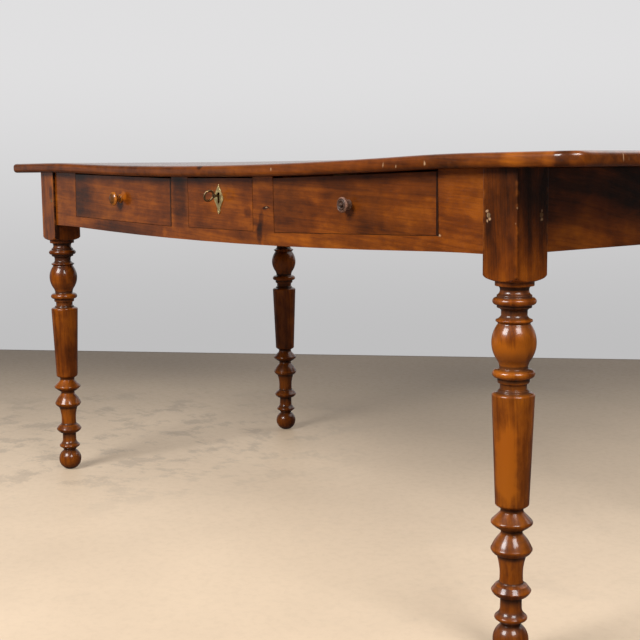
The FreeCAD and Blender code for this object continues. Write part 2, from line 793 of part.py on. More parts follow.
def tail(name, side, inner, tip, shoulder, middle, pitch):
    """One dovetail: its tip plane is wide and its shoulder plane is narrow."""
    solid = document.addObject("Part::Wedge", name)
    low_x, high_x = mirrored(side, inner, f"{inner} + drawer_side_thickness")
    near, far = (TAIL_TIP_SHARE, TAIL_SHOULDER_SHARE)
    low_y, high_y = tip, shoulder
    if number(tip) > number(shoulder):
        near, far = far, near
        low_y, high_y = shoulder, tip
    return bind(solid, {
        "Xmin": low_x, "X2min": low_x, "Xmax": high_x, "X2max": high_x, "Ymin": low_y, "Ymax": high_y,
        "Zmin": f"{middle} - ({pitch}) * {near} / 2", "Zmax": f"{middle} + ({pitch}) * {near} / 2",
        "Z2min": f"{middle} - ({pitch}) * {far} / 2", "Z2max": f"{middle} + ({pitch}) * {far} / 2",
    })


def tails(name, side, inner, count, tip, shoulder, low, high):
    """A row of dovetails up the end of a drawer side."""
    pitch = f"(({high}) - ({low})) / {count}"
    return [tail(f"{name}_{index}", side, inner, tip, shoulder, f"{low} + {pitch} * {index + 0.5}", pitch)
            for index in range(count)]


def build_drawer(drawer, front_bores):
    """A drawer's five boards, dovetailed at the corners, about the middle of its front's bottom edge."""
    width = DRAWERS[drawer][1]
    inner = f"({width} / 2 - drawer_side_thickness)"
    bottom_half = f"{inner} + groove_depth"
    bottom = box(f"{drawer}_bottom", mirrored_pair(bottom_half),
                 ("drawer_front_thickness - groove_depth", "drawer_length"),
                 ("drawer_bottom_height", "panel_top"))
    back = box(f"{drawer}_back_blank", centred(width),
               ("drawer_length - drawer_back_thickness", "drawer_length"),
               ("panel_top", "side_height - back_relief"))
    front_tails = {}
    back_tails = []
    for name, side in (("left", -1), ("right", 1)):
        front_tails[name] = tails(f"{drawer}_{name}_front_tail", side, inner, FRONT_TAILS,
                                  "front_lap", "drawer_front_thickness", "0", "side_height")
        back_tails += tails(f"{drawer}_{name}_back_tail", side, inner, BACK_TAILS, "drawer_length",
                            "drawer_length - drawer_back_thickness", "panel_top", "side_height - back_relief")
    back = cut(f"{drawer}_back", back, *back_tails)
    for name, side in (("left", -1), ("right", 1)):
        board = box(f"{drawer}_{name}_board", mirrored(side, inner, f"{width} / 2"),
                    ("drawer_front_thickness", "drawer_length"), ("0", "side_height"))
        whole = joined(f"{drawer}_{name}_whole", board, *front_tails[name])
        shaped = cut(f"{drawer}_{name}_side", whole, back, bottom)
        node(f"{drawer}_drawer_{name}_side", seated(f"{drawer}_{name}_seat", drawer, shaped))
    front = box(f"{drawer}_front_blank", centred(width), ("0", "drawer_front_thickness"),
                ("0", "drawer_front_height"))
    front = cut(f"{drawer}_front", front, bottom, *front_tails["left"], *front_tails["right"], *front_bores)
    node(f"{drawer}_drawer_front", seated(f"{drawer}_front_seat", drawer, front))
    node(f"{drawer}_drawer_back", seated(f"{drawer}_back_seat", drawer, back))
    node(f"{drawer}_drawer_bottom", seated(f"{drawer}_bottom_seat", drawer, bottom))


def build_knob(drawer, shares, bore_height):
    """A turned knob on a spigot that passes through the drawer front."""
    radius, length = f"{drawer}_knob_radius", f"{drawer}_knob_length"
    rows = [(f"{radius} * {share}", f"-{length} * {out}", str(-swell)) for share, out, swell in shares]
    rows += [("0", "drawer_front_thickness", "0"), ("knob_spigot_radius", "drawer_front_thickness", "0"),
             ("knob_spigot_radius", "0", "0")]
    knob = turned(f"{drawer}_knob", rows, FreeCAD.Vector(0, 1, 0))
    node(f"{drawer}_drawer_knob", seated(f"{drawer}_knob_seat", drawer, knob, up=bore_height))


def keyhole(name, near, far):
    """A keyhole: a round hole and a slot down from it, between two planes along Y."""
    reach = f"{far} - ({near})"
    head = "key_height + keyhole_rise"
    foot = f"{head} + keyhole_radius - keyhole_length + keyhole_foot_radius"
    return joined(name, rod(f"{name}_head", "keyhole_radius", ("0", near, head), reach, (0, 1, 0)),
                  box(f"{name}_slot", centred("keyhole_slot_width"), (near, far), (foot, head)),
                  rod(f"{name}_foot", "keyhole_foot_radius", ("0", near, foot), reach, (0, 1, 0)))


def build_lock():
    """The till lock: case, plate with selvedge, bolt, screws and key. Returns what the front gives way to."""
    half_case = "lock_case_width / 2"
    case_block = box("lock_case_block", mirrored_pair(half_case), ("lock_front", "lock_back"),
                     ("lock_bottom", "selvedge"))
    case_hollow = box("lock_case_hollow", mirrored_pair(f"{half_case} - lock_wall"),
                      ("lock_front + lock_wall", "lock_back"),
                      ("lock_bottom + lock_wall", "selvedge - lock_wall"))
    bolt_across = centred("bolt_hole_width")
    bolt_along = centred("bolt_hole_thickness", "bolt_y")
    bolt_way = box("bolt_way", bolt_across, bolt_along,
                   ("selvedge - lock_wall - bore_overrun", "lock_top + bore_overrun"))
    case_keyhole = keyhole("lock_keyhole", "lock_front - bore_overrun",
                           "lock_front + lock_wall + bore_overrun")
    node("lock_case", seated("lock_case_seat", "middle",
                             cut("lock_case_shell", case_block, case_hollow, bolt_way, case_keyhole)))
    back_plate = box("lock_back_plate", mirrored_pair("half_plate"), ("lock_back", "drawer_front_thickness"),
                     ("lock_bottom - lock_plate_margin", "lock_top"))
    selvedge_plate = box("lock_selvedge", mirrored_pair("half_plate"), ("lock_front", "lock_back"),
                         ("selvedge", "lock_top"))
    screws, holes = [], []
    screw_x = "(lock_case_width + lock_plate_margin) / 2"
    for side in (-1, 1):
        for row, height in (("upper", "lock_top - 2 * lock_plate_margin"), ("lower", "lock_bottom")):
            start = (f"{side} * {screw_x}", "drawer_front_thickness", height)
            screw, hole = countersunk(f"lock_{row}_{side + 1}", "small_screw", start, (0, -1, 0))
            screws.append(screw)
            holes.append(hole)
    plate_whole = joined("lock_plate_whole", back_plate, selvedge_plate)
    plate = cut("lock_plate_cut", plate_whole, bolt_way, *holes)
    node("lock_plate", seated("lock_plate_seat", "middle", plate))
    node("lock_screws", seated("lock_screws_seat", "middle", *screws))
    bolt_top = "lock_top - bolt_rest_depth"
    bolt = box("bolt_block", centred("bolt_width"), centred("bolt_thickness", "bolt_y"),
               (f"{bolt_top} - bolt_length", bolt_top))
    node("lock_bolt", seated("lock_bolt_seat", "middle", bolt))
    front_keyhole = keyhole("front_keyhole", "-bore_overrun", "lock_front + bore_overrun")
    return [case_block, back_plate, selvedge_plate, front_keyhole, *holes]


def build_key():
    """The key about its own turning line: shank, collar, ring bow and the bit inside the lock."""
    bit_back = "bolt_y - bolt_thickness / 2 - bolt_clearance"
    start = ("0", "-key_shank_out", "0")
    shank = rod("key_shank", "key_shank_radius", start, f"key_shank_out + {bit_back}", (0, 1, 0))
    collar = rod("key_collar", "key_collar_radius", start, "key_collar_length", (0, 1, 0))
    bow = document.addObject("Part::Torus", "key_bow")
    bow.Placement.Rotation = FreeCAD.Rotation(FreeCAD.Vector(0, 1, 0), 90)
    bind(bow, {"Radius1": "key_bow_radius", "Radius2": "key_bow_wire",
               "Placement.Base.y": "-key_shank_out - key_bow_radius"})
    bit = box("key_bit", centred("key_bit_thickness"), (f"{bit_back} - key_bit_width", bit_back),
              ("-key_bit_reach", "0"))
    key = joined("key_whole", shank, collar, bow, bit)
    node("key", seated("key_seat", "middle", key, up="key_height", turn="key_turn * 1 deg"))


def build_escutcheon():
    """The lozenge plate round the keyhole, held by four pins. Returns the pins' holes in the front."""
    half_width, half_height = "escutcheon_width / 2", "escutcheon_height / 2"
    middle = "(key_height - escutcheon_drop)"
    right = ESCUTCHEON_SHARES[:-1]
    left = [(-x, y, swell) for (x, y, _), (_, _, swell) in zip(ESCUTCHEON_SHARES[:0:-1], right[::-1])]
    rows = [(f"{half_width} * {x}", f"{middle} + {half_height} * {y}", str(swell))
            for x, y, swell in (*right, *left)]
    sketch = upright(outline("escutcheon_outline", rows))
    plate = raised("escutcheon_plate", sketch, (0, -1, 0), "escutcheon_thickness")
    hole = keyhole("escutcheon_keyhole", "-escutcheon_thickness - bore_overrun", "bore_overrun")
    pin_x = f"{half_width} * {ESCUTCHEON_PIN_SHARE}"
    pin_z = f"{half_height} * {ESCUTCHEON_TIP_SHARE}"
    spots = [("left", f"-{pin_x}", middle), ("right", pin_x, middle),
             ("upper", "0", f"{middle} + {pin_z}"), ("lower", "0", f"{middle} - {pin_z}")]
    pins, bores = [], []
    for spot, x, z in spots:
        start = (x, "-escutcheon_thickness - escutcheon_pin_head_height", z)
        head = rod(f"{spot}_pin_head", "escutcheon_pin_head_radius", start,
                   "escutcheon_pin_head_height", (0, 1, 0))
        stem = rod(f"{spot}_pin_stem", "escutcheon_pin_radius", start, "escutcheon_pin_length", (0, 1, 0))
        bores.append(rod(f"{spot}_pin_bore", "escutcheon_pin_radius + fit_clearance", start,
                         "escutcheon_pin_length + fit_clearance", (0, 1, 0)))
        pins.append(joined(f"{spot}_pin", head, stem))
    node("escutcheon", seated("escutcheon_seat", "middle", cut("escutcheon_cut", plate, hole, *bores)))
    node("escutcheon_pins", seated("escutcheon_pins_seat", "middle", *pins))
    return bores


def build_strike():
    """The plate let into the top over the bolt. Returns what the top gives way to."""
    under = "drawer_front_height + top_gap"
    plate = box("strike_block", centred("strike_length"), centred("strike_width", "bolt_y"),
                (under, f"{under} + strike_thickness"))
    mortise = box("strike_mortise", centred("bolt_hole_width"), centred("bolt_hole_thickness", "bolt_y"),
                  (f"{under} - bore_overrun", f"{under} + mortise_depth"))
    screws, holes = [], []
    for side, spot in ((-1, "left"), (1, "right")):
        start = (f"{side} * (strike_length + bolt_width) / 4", "bolt_y", under)
        screw, hole = countersunk(f"strike_{spot}", "small_screw", start, (0, 0, 1))
        screws.append(screw)
        holes.append(hole)
    node("strike_plate", seated("strike_seat", "middle", cut("strike_cut", plate, mortise, *holes)))
    node("strike_screws", seated("strike_screws_seat", "middle", *screws))
    return [seated("strike_room", "middle", joined("strike_room_whole", plate, mortise, *holes))]


def build_table():
    """Every sub-part, in the order in which one gives way to another."""
    peg_bores = build_legs()
    runners = build_runners()
    build_front_apron(runners, peg_bores)
    build_other_aprons(runners, peg_bores)
    build_top(build_fixings(), build_strike())
    knob_height = "drawer_front_height / 2"
    knob_bore = rod("knob_bore", "knob_spigot_radius + fit_clearance", ("0", "-bore_overrun", knob_height),
                    "drawer_front_thickness + 2 * bore_overrun", (0, 1, 0))
    for drawer, shares in (("left", LEFT_KNOB_SHARES), ("right", RIGHT_KNOB_SHARES)):
        build_drawer(drawer, [knob_bore])
        build_knob(drawer, shares, knob_height)
    lock_room = build_lock()
    build_key()
    build_drawer("middle", [*lock_room, *build_escutcheon()])


def check_document():
    """Stop if an object failed, or a sub-part is empty or not valid."""
    document.recompute()
    failed = [thing.Name for thing in document.Objects if {"Invalid", "Error"} & set(thing.State)]
    if failed:
        raise RuntimeError(f"objects failed: {failed}")
    for thing in nodes:
        if thing.Shape.isNull() or not thing.Shape.isValid() or not thing.Shape.Solids:
            raise RuntimeError(f"no valid solid in {thing.Label}")


def write_nodes():
    """Write each sub-part to a file of its own."""
    os.makedirs(NODE_FOLDER, exist_ok=True)
    for thing in nodes:
        thing.Shape.exportStep(f"{NODE_FOLDER}/{thing.Label}.step")
        bounds = thing.Shape.BoundBox
        print(f"{thing.Label}: {len(thing.Shape.Solids)} solids, {thing.Shape.Volume:.0f} mm3, "
              f"x {bounds.XMin:.1f} {bounds.XMax:.1f}, y {bounds.YMin:.1f} {bounds.YMax:.1f}, "
              f"z {bounds.ZMin:.1f} {bounds.ZMax:.1f}")


build_table()
check_document()
write_nodes()
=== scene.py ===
import json
import math

import bmesh
import bpy
import numpy as np
from mathutils import Matrix, Vector, noise

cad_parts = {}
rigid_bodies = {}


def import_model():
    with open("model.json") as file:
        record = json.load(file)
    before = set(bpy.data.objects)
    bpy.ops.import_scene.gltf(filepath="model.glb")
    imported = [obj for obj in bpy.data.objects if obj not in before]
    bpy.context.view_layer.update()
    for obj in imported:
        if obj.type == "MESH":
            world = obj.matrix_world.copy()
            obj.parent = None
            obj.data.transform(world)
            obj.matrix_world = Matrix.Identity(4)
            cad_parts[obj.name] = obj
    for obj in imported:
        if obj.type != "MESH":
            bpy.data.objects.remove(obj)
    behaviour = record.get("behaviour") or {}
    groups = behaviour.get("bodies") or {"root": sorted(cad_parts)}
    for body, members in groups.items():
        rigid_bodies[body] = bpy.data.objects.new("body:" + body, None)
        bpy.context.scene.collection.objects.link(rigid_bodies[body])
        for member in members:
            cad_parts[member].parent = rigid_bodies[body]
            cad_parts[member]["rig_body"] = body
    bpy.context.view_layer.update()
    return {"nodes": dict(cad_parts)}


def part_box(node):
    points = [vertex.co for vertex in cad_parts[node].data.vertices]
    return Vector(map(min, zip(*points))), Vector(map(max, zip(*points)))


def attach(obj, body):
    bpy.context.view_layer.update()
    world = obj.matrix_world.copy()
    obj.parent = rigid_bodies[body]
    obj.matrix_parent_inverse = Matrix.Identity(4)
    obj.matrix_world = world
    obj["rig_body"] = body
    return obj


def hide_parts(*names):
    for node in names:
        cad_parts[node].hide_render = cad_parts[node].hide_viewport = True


bl_info = {
    "name": "Walnut Writing Table",
    "version": (1, 0, 0),
    "blender": (4, 5, 0),
    "location": "View3D > Sidebar > Writing Table",
    "description": "Dresses the packed frame of a walnut writing table with three drawers",
    "category": "Object",
}

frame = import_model()
MM = 0.001

# The leg's outline from the foot up: a radius as a share of half the block, a height as a share of the
# turned length, and how far the stretch that follows swells, as a share of half its chord.
LEG_TURNING = (
    (0.224, 0.000, 0.65), (0.430, 0.0835, 0), (0.495, 0.0900, 0), (0.700, 0.0980, 0.55),
    (0.680, 0.1085, 0), (0.640, 0.1110, -0.22), (0.490, 0.1300, 0), (0.485, 0.1545, 0),
    (0.505, 0.1570, 0.25), (0.885, 0.1740, 0.5), (0.880, 0.1785, 0), (0.730, 0.1900, 0),
    (0.560, 0.1965, -0.1), (0.530, 0.2050, -0.1), (0.660, 0.2680, 0), (0.680, 0.2700, 0.2),
    (0.915, 0.2825, 0.4), (0.915, 0.2900, 0.06), (0.690, 0.3135, 0), (0.500, 0.3265, 0),
    (0.480, 0.3350, 0.06), (0.900, 0.3520, 0.5), (0.895, 0.3625, 0), (0.530, 0.3840, -0.1),
    (0.515, 0.3925, 0), (0.570, 0.3965, 0.15), (0.762, 0.4040, 0), (0.950, 0.6855, 0.4),
    (0.880, 0.6930, 0), (0.700, 0.6955, 0), (0.680, 0.7010, 0), (0.592, 0.7035, 0),
    (0.597, 0.7175, 0), (0.690, 0.7195, 0), (0.715, 0.7235, 0), (0.715, 0.7310, 0),
    (0.760, 0.7320, 0.92), (0.780, 0.7535, 0), (0.630, 0.7555, 0), (0.627, 0.7600, -0.12),
    (0.746, 0.7775, 0.32), (0.720, 0.8690, 0), (0.705, 0.8715, 0), (0.820, 0.8765, 0),
    (0.810, 0.8805, -0.25), (0.575, 0.8915, 0), (0.580, 0.9035, -0.2), (0.700, 0.9095, 0),
    (0.770, 0.9105, 0), (0.770, 0.9170, 0), (0.810, 0.9175, 0.96), (0.810, 0.9360, 0),
    (0.775, 0.9370, 0), (0.775, 0.9420, -0.5), (0.700, 0.9640, 0), (0.862, 0.9655, 0),
    (0.862, 0.9765, 0.04), (1.260, 0.9845, 0.25), (1.430, 1.0000, 0), (1.600, 1.0000, 0),
)
BLOCK_HEIGHT = 0.151
PAST_BLOCK = 1.6
WORN_CORNER = 1.36
# The knobs' outlines in the same way, from the drawer's front outwards.
LEFT_KNOB = (
    (0.64, 0.00, 0.3), (0.62, 0.09, 0), (0.50, 0.11, -0.3), (0.46, 0.30, -0.2),
    (0.93, 0.60, 0.45), (0.95, 0.80, 0.19), (0.02, 1.00, 0),
)
RIGHT_KNOB = (
    (0.66, 0.00, 0.3), (0.62, 0.12, -0.2), (0.50, 0.38, -0.25), (0.90, 0.58, 0.5),
    (0.94, 0.80, 0), (0.82, 0.86, 0), (0.72, 0.80, 0.6), (0.44, 0.84, 0),
    (0.34, 0.78, 0.2), (0.16, 1.00, 0), (0.02, 1.00, 0),
)

# Marks and chips are ellipsoids in millimetres: a middle, a size and, for a mark, a change of shade; some
# marks are painted light or shade.
# A mark darker than GAP_SHADE is a dark joint between boards or a painted shadow in a gap, and its edges stay
# straight.
GAP_SHADE = -1
FRONT_FACE = -367.5
# The near leg's first row darkens its block, most at the top: darker wood and painted shade under the top.
# The second row is a painted highlight streak on the shaft, and the third a painted patch of light on the
# barrel's front.
NEAR_LEG_MARKS_AND_PAINTED_LIGHT = (
    ((735, -340, 725), (140, 130, 205), -0.50), ((745, -365, 300), (26, 30, 80), 0.62),
    ((735, -365, 460), (40, 40, 34), 0.70), ((720, -370, 250), (30, 30, 20), -0.30),
)
# The far leg's first row is a painted shadow: a dark strip on the left block's inner side, where it stands
# proud of the front apron.
FAR_LEG_MARKS_AND_PAINTED_SHADE = (
    ((-700.5, -368, 670), (4.5, 8, 400), -3.0), ((-735, -372, 670), (60, 40, 110), -0.12),
    ((-716, -372, 690), (14, 20, 22), -0.30),
)
PEG_CRUMBS = (
    ((768.5, -372.5, 682), (2, 2, 3)), ((768.5, -372.5, 657), (2, 2, 2.5)),
    ((711, -372.5, 675.5), (4, 3, 3.4)), ((715.5, -372.5, 664.5), (4, 3, 3)),
    ((709, -372.5, 663), (3, 3, 3)), ((768.5, -319, 675.5), (3, 3.4, 3)),
    ((768.5, -320, 663.5), (3, 4, 3.4)),
)
RIM_MARKS = (
    ((-21.8, -395, 746), (16, 9, 7), -0.5), ((780, -395, 749), (30, 20, 30), 0.22),
    ((860, -385, 749), (16, 30, 30), -0.25), ((843, -390, 749), (14, 14, 30), 0.2),
    ((640, -395, 749), (60, 20, 30), -0.12), ((430, -395, 749), (90, 20, 20), 0.12),
)
RIM_CHIPS = (
    ((509.2, -395, 744.2), (1.5, 4, 6)), ((209.2, -394, 741), (2, 4, 5)),
    ((601.7, -395, 746.3), (1.3, 4, 5)), ((537, -395, 742.4), (1.2, 4, 4)),
    ((885, -276.6, 751), (3, 1.2, 9)), ((885, -287.7, 751), (3, 1.4, 8)),
)
FRONT_GAP, REAR_GAP = [((0, joint, 750), (6000, 1.6, 400), -1.1) for joint in (-125, 125)]
FRONT_BOARD_CHIPS = (((160, FRONT_FACE, 669.5), (5, 9, 1.3)), ((605, FRONT_FACE, 637), (6, 6, 3)))
# Painted light on the right apron: a painted shadow of the top's overhang darkens its upper part, and painted
# floor light lightens its lower part.
RIGHT_APRON_PAINTED_SHADE_AND_LIGHT = (((763, -150, 725), (30, 300, 55), -0.28), ((763, -200, 636), (30, 240, 34), 0.24))
# On the front each row is x, z, width, height and change.
FRONT_BOARD_MARKS = (
    (-141, 680, 40, 80, -0.46), (-640, 690, 50, 90, -0.12), (157.4, 669.5, 15, 3.6, -0.85),
    (142, 650, 9, 22, -0.30), (136, 622, 10, 26, -0.42), (118, 632, 15, 9, 0.30), (-200, 612, 14, 10, 0.22),
    (160, 700, 30, 26, -0.10), (655, 670, 70, 80, 0.06), (0, 605, 160, 18, 0.10), (-450, 603, 260, 34, -0.32),
)
# The left drawer's second row is a painted reflection of the knob's glow, just right of the knob.
DRAWER_MARKS_AND_KNOB_GLOW = {
    "left": ((-590, 680, 120, 120, -0.34), (-371, 686, 17, 13, 0.55), (-258, 668, 60, 26, 0.08),
             (-440, 700, 70, 20, 0.06)),
    "middle": ((-75, 680, 60, 70, -0.10), (100, 660, 14, 17, -0.26), (80, 645, 40, 16, 0.20),
               (40, 690, 40, 26, 0.10)),
    "right": ((570, 700, 70, 36, -0.04), (300, 650, 120, 26, -0.06), (520, 640, 60, 16, -0.12),
              (240, 715, 70, 20, -0.05)),
}

# Shades that stains and wear give, and painted shade on the floor, in linear values.
RED_CAST = (1.0, 0.80, 0.60)
CHIPPED_WOOD = (0.35, 0.215, 0.118)
FIBRE_SHADE = (0.55, 0.42, 0.30)
DAMP_STAIN = (0.60, 0.50, 0.40)
FLOOR_GRIT = (0.6, 0.6, 0.6)
FLOOR_STAIN = (0.55, 0.56, 0.60)
FLOOR_CRUST = (0.52, 0.54, 0.57)
FLOOR_SHADE_BY_WALL = (0.50, 0.48, 0.45)
JOINT_DIRT_AND_WALL_FOOT_SHADE = (0.10, 0.075, 0.055)
BLACK = (0.0, 0.0, 0.0)
ROOM_LIGHT = (0.080, 0.076, 0.072)

# The photograph's wall stands across this direction, this far from the table's middle.
TO_WALL = (-0.6723, 0.7403, 0.0)
WALL_DISTANCE = 2.0854
WALL_POINT = (-1.720, 1.255, 0)
WALL_WAY = (0.7403, 0.6723, 0)
FLOOR_REACH = 12


def length_property(name, description, default):
    """A length that the panel shows."""
    return bpy.props.FloatProperty(
        name=name, description=description, default=default, unit="LENGTH", subtype="DISTANCE")


def colour_property(name, description, default):
    """A colour that the panel shows."""
    return bpy.props.FloatVectorProperty(
        name=name, description=description, default=default, subtype="COLOR", size=3, min=0, max=1)


class TableSizes(bpy.types.PropertyGroup):
    """Sizes of the finish that a user would change."""
    edge_wear: length_property("Edge wear", "How far the boards' edges have worn round", 0.0011)
    block_wear: length_property("Block wear", "Radius of the worn corners of the legs' blocks", 0.0017)
    rim_radius: length_property("Rim radius", "Rounding of the top's rim", 0.008)
    left_corner_radius: length_property(
        "Left corner radius", "Rounding of the top's left corners in plan", 0.014)
    right_corner_radius: length_property(
        "Right corner radius", "Rounding of the top's right corners in plan", 0.036)
    turning_wobble: length_property(
        "Turning wobble", "How uneven the turned surfaces have become", 0.00012)
    slot_width: length_property("Screw slot", "Width of the slots in the top's screws", 0.0009)
    peg_chipping: length_property("Peg chipping", "How far the pegs' whittled sides stray", 0.0005)


class TableColours(bpy.types.PropertyGroup):
    """Colours of the finishes."""
    walnut_dark: colour_property(
        "Walnut, darkest", "The darkest streaks of the walnut", (0.016, 0.0038, 0.0005))
    walnut_deep: colour_property("Walnut, deep", "The deep brown of the walnut", (0.049, 0.0106, 0.0006))
    walnut_warm: colour_property(
        "Walnut, warm", "The usual warm brown of the walnut", (0.108, 0.0246, 0.0010))
    walnut_gold: colour_property(
        "Walnut, golden", "The golden parts of the walnut", (0.240, 0.0630, 0.0022))
    dirt: colour_property("Dirt", "Old polish and dirt in grooves", (0.016, 0.007, 0.004))
    pale_wood: colour_property("Pale wood", "Unpolished drawer linings, runners and pegs", (0.48, 0.30, 0.15))
    knob: colour_property("Left knob", "The glossy left knob", (0.45, 0.150, 0.018))
    grey_knob: colour_property("Right knob", "The worn right knob", (0.25, 0.130, 0.090))
    brass: colour_property("Brass", "The keyhole plate and the lock's plate", (0.70, 0.54, 0.25))
    iron: colour_property("Iron", "The screws and the lock's case and bolt", (0.085, 0.066, 0.052))
    key: colour_property("Key", "The key's iron, rubbed brown", (0.25, 0.155, 0.07))
    floor: colour_property("Floor", "The plain floor", (0.67, 0.522, 0.370))
    backdrop: colour_property("Backdrop", "The plain wall behind", (0.745, 0.74, 0.745))


class Wire:
    """One socket of a node tree, so that sums on it are written as Python."""

    def __init__(self, tree, socket=None):
        self.tree = tree
        self.socket = socket

    def node(self, kind, settings=None, inputs=None, output=0):
        """Add a node: first its settings, then the values or wires of its inputs."""
        made = self.tree.nodes.new(kind)
        for name, value in (settings or {}).items():
            if name == "stops":
                set_stops(made.color_ramp, value)
            else:
                setattr(made, name, value)
        for key, value in (inputs or {}).items():
            if isinstance(value, Wire):
                self.tree.links.new(value.socket, made.inputs[key])
            else:
                made.inputs[key].default_value = value
        return Wire(self.tree, made.outputs[output]) if made.outputs else None

    def math(self, operation, *operands):
        """A Math node on some operands."""
        return self.node("ShaderNodeMath", {"operation": operation}, dict(enumerate(operands)))

    def __add__(self, other):
        return self.math("ADD", self, other)

    __radd__ = __add__

    def __sub__(self, other):
        return self.math("SUBTRACT", self, other)

    def __rsub__(self, other):
        return self.math("SUBTRACT", other, self)

    def __mul__(self, other):
        return self.math("MULTIPLY", self, other)

    __rmul__ = __mul__

    def step(self, low, high):
        """A smooth rise from 0 at low to 1 at high."""
        return self.node("ShaderNodeMapRange", {"interpolation_type": "SMOOTHSTEP"},
                         {"Value": self, "From Min": low, "From Max": high})

    def mix(self, low, high, how="MIX"):
        """Two colours, given as wires or as three numbers, mixed by this wire."""
        low, high = [item if isinstance(item, Wire) else (*item, 1.0) for item in (low, high)]
        return self.node("ShaderNodeMix", {"data_type": "RGBA", "blend_type": how},
                         {0: self, 6: low, 7: high}, 2)

    def xyz(self, x=0.0, y=0.0, z=0.0):
        """A vector of three numbers or wires."""
        return self.node("ShaderNodeCombineXYZ", {}, {0: x, 1: y, 2: z})

    def vector(self, operation, other=None, output=0):
        """A Vector Math node on this wire and another vector."""
        inputs = {0: self} if other is None else {0: self, 1: other}
        return self.node("ShaderNodeVectorMath", {"operation": operation}, inputs, output)

    def length(self):
        """The length of this vector."""
        return self.vector("LENGTH", output="Value")

    def along(self, way):
        """How far this place lies in a direction."""
        return self.vector("DOT_PRODUCT", way, "Value")

    def noise(self, scale, detail=3.0, roughness=0.5, dimensions="3D"):
        """Noise at this place, or along this number."""
        key = "W" if dimensions == "1D" else "Vector"
        return self.node("ShaderNodeTexNoise", {"noise_dimensions": dimensions},
                         {key: self, "Scale": scale, "Detail": detail, "Roughness": roughness})

    def spot(self, centre, size):
        """1 in the middle of an ellipsoid about a centre, 0 outside it. Both are in millimetres."""
        offset = self.vector("SUBTRACT", scaled(centre, MM))
        return offset.vector("MULTIPLY", [1 / (value * MM) for value in size]).length().step(1.0, 0.35)

    def place(self):
        """The place on the object."""
        return self.node("ShaderNodeTexCoord", {}, {}, "Object")

    def kept(self, name):
        """The number that a mesh keeps for each vertex under a name."""
        return self.node("ShaderNodeAttribute", {"attribute_name": name}, {}, "Fac")

    def ray(self, kind):
        """1 for light rays of a kind."""
        return self.node("ShaderNodeLightPath", {}, {}, kind)


def set_stops(ramp, stops):
    """Give a colour ramp its stops."""
    while len(ramp.elements) > 1:
        ramp.elements.remove(ramp.elements[-1])
    for index, (position, colour) in enumerate(stops):
        element = ramp.elements[0] if index == 0 else ramp.elements.new(position)
        element.position = position
        element.color = (*colour, 1.0)


def scaled(values, share):
    """A colour or a place times a number."""
    return [value * share for value in values]


def material_start(name):
    """An empty material and a wire in its tree."""
    material = bpy.data.materials.new(name)
    material.use_nodes = True
    material.node_tree.nodes.clear()
    return material, Wire(material.node_tree)


def shaded(start, inputs, bump=None, strength=0.0, distance=0.0):
    """Close a material with a Principled shader."""
    if bump is not None:
        inputs["Normal"] = start.node("ShaderNodeBump", {}, {
            "Strength": strength, "Distance": distance, "Height": bump})
    shader = start.node("ShaderNodeBsdfPrincipled", {}, inputs)
    start.node("ShaderNodeOutputMaterial", {}, {"Surface": shader})


def places(start, grain, about):
    """The place on the object, and the same place seen along the grain from a piece's middle."""
    place = start.place()
    local = place.vector("SUBTRACT", scaled(about, MM))
    parts = [local.node("ShaderNodeSeparateXYZ", {}, {0: local}, axis) for axis in "XYZ"]
    order = {"X": (0, 1, 2), "Y": (1, 0, 2), "Z": (2, 0, 1)}[grain]
    return place, [parts[index] for index in order]


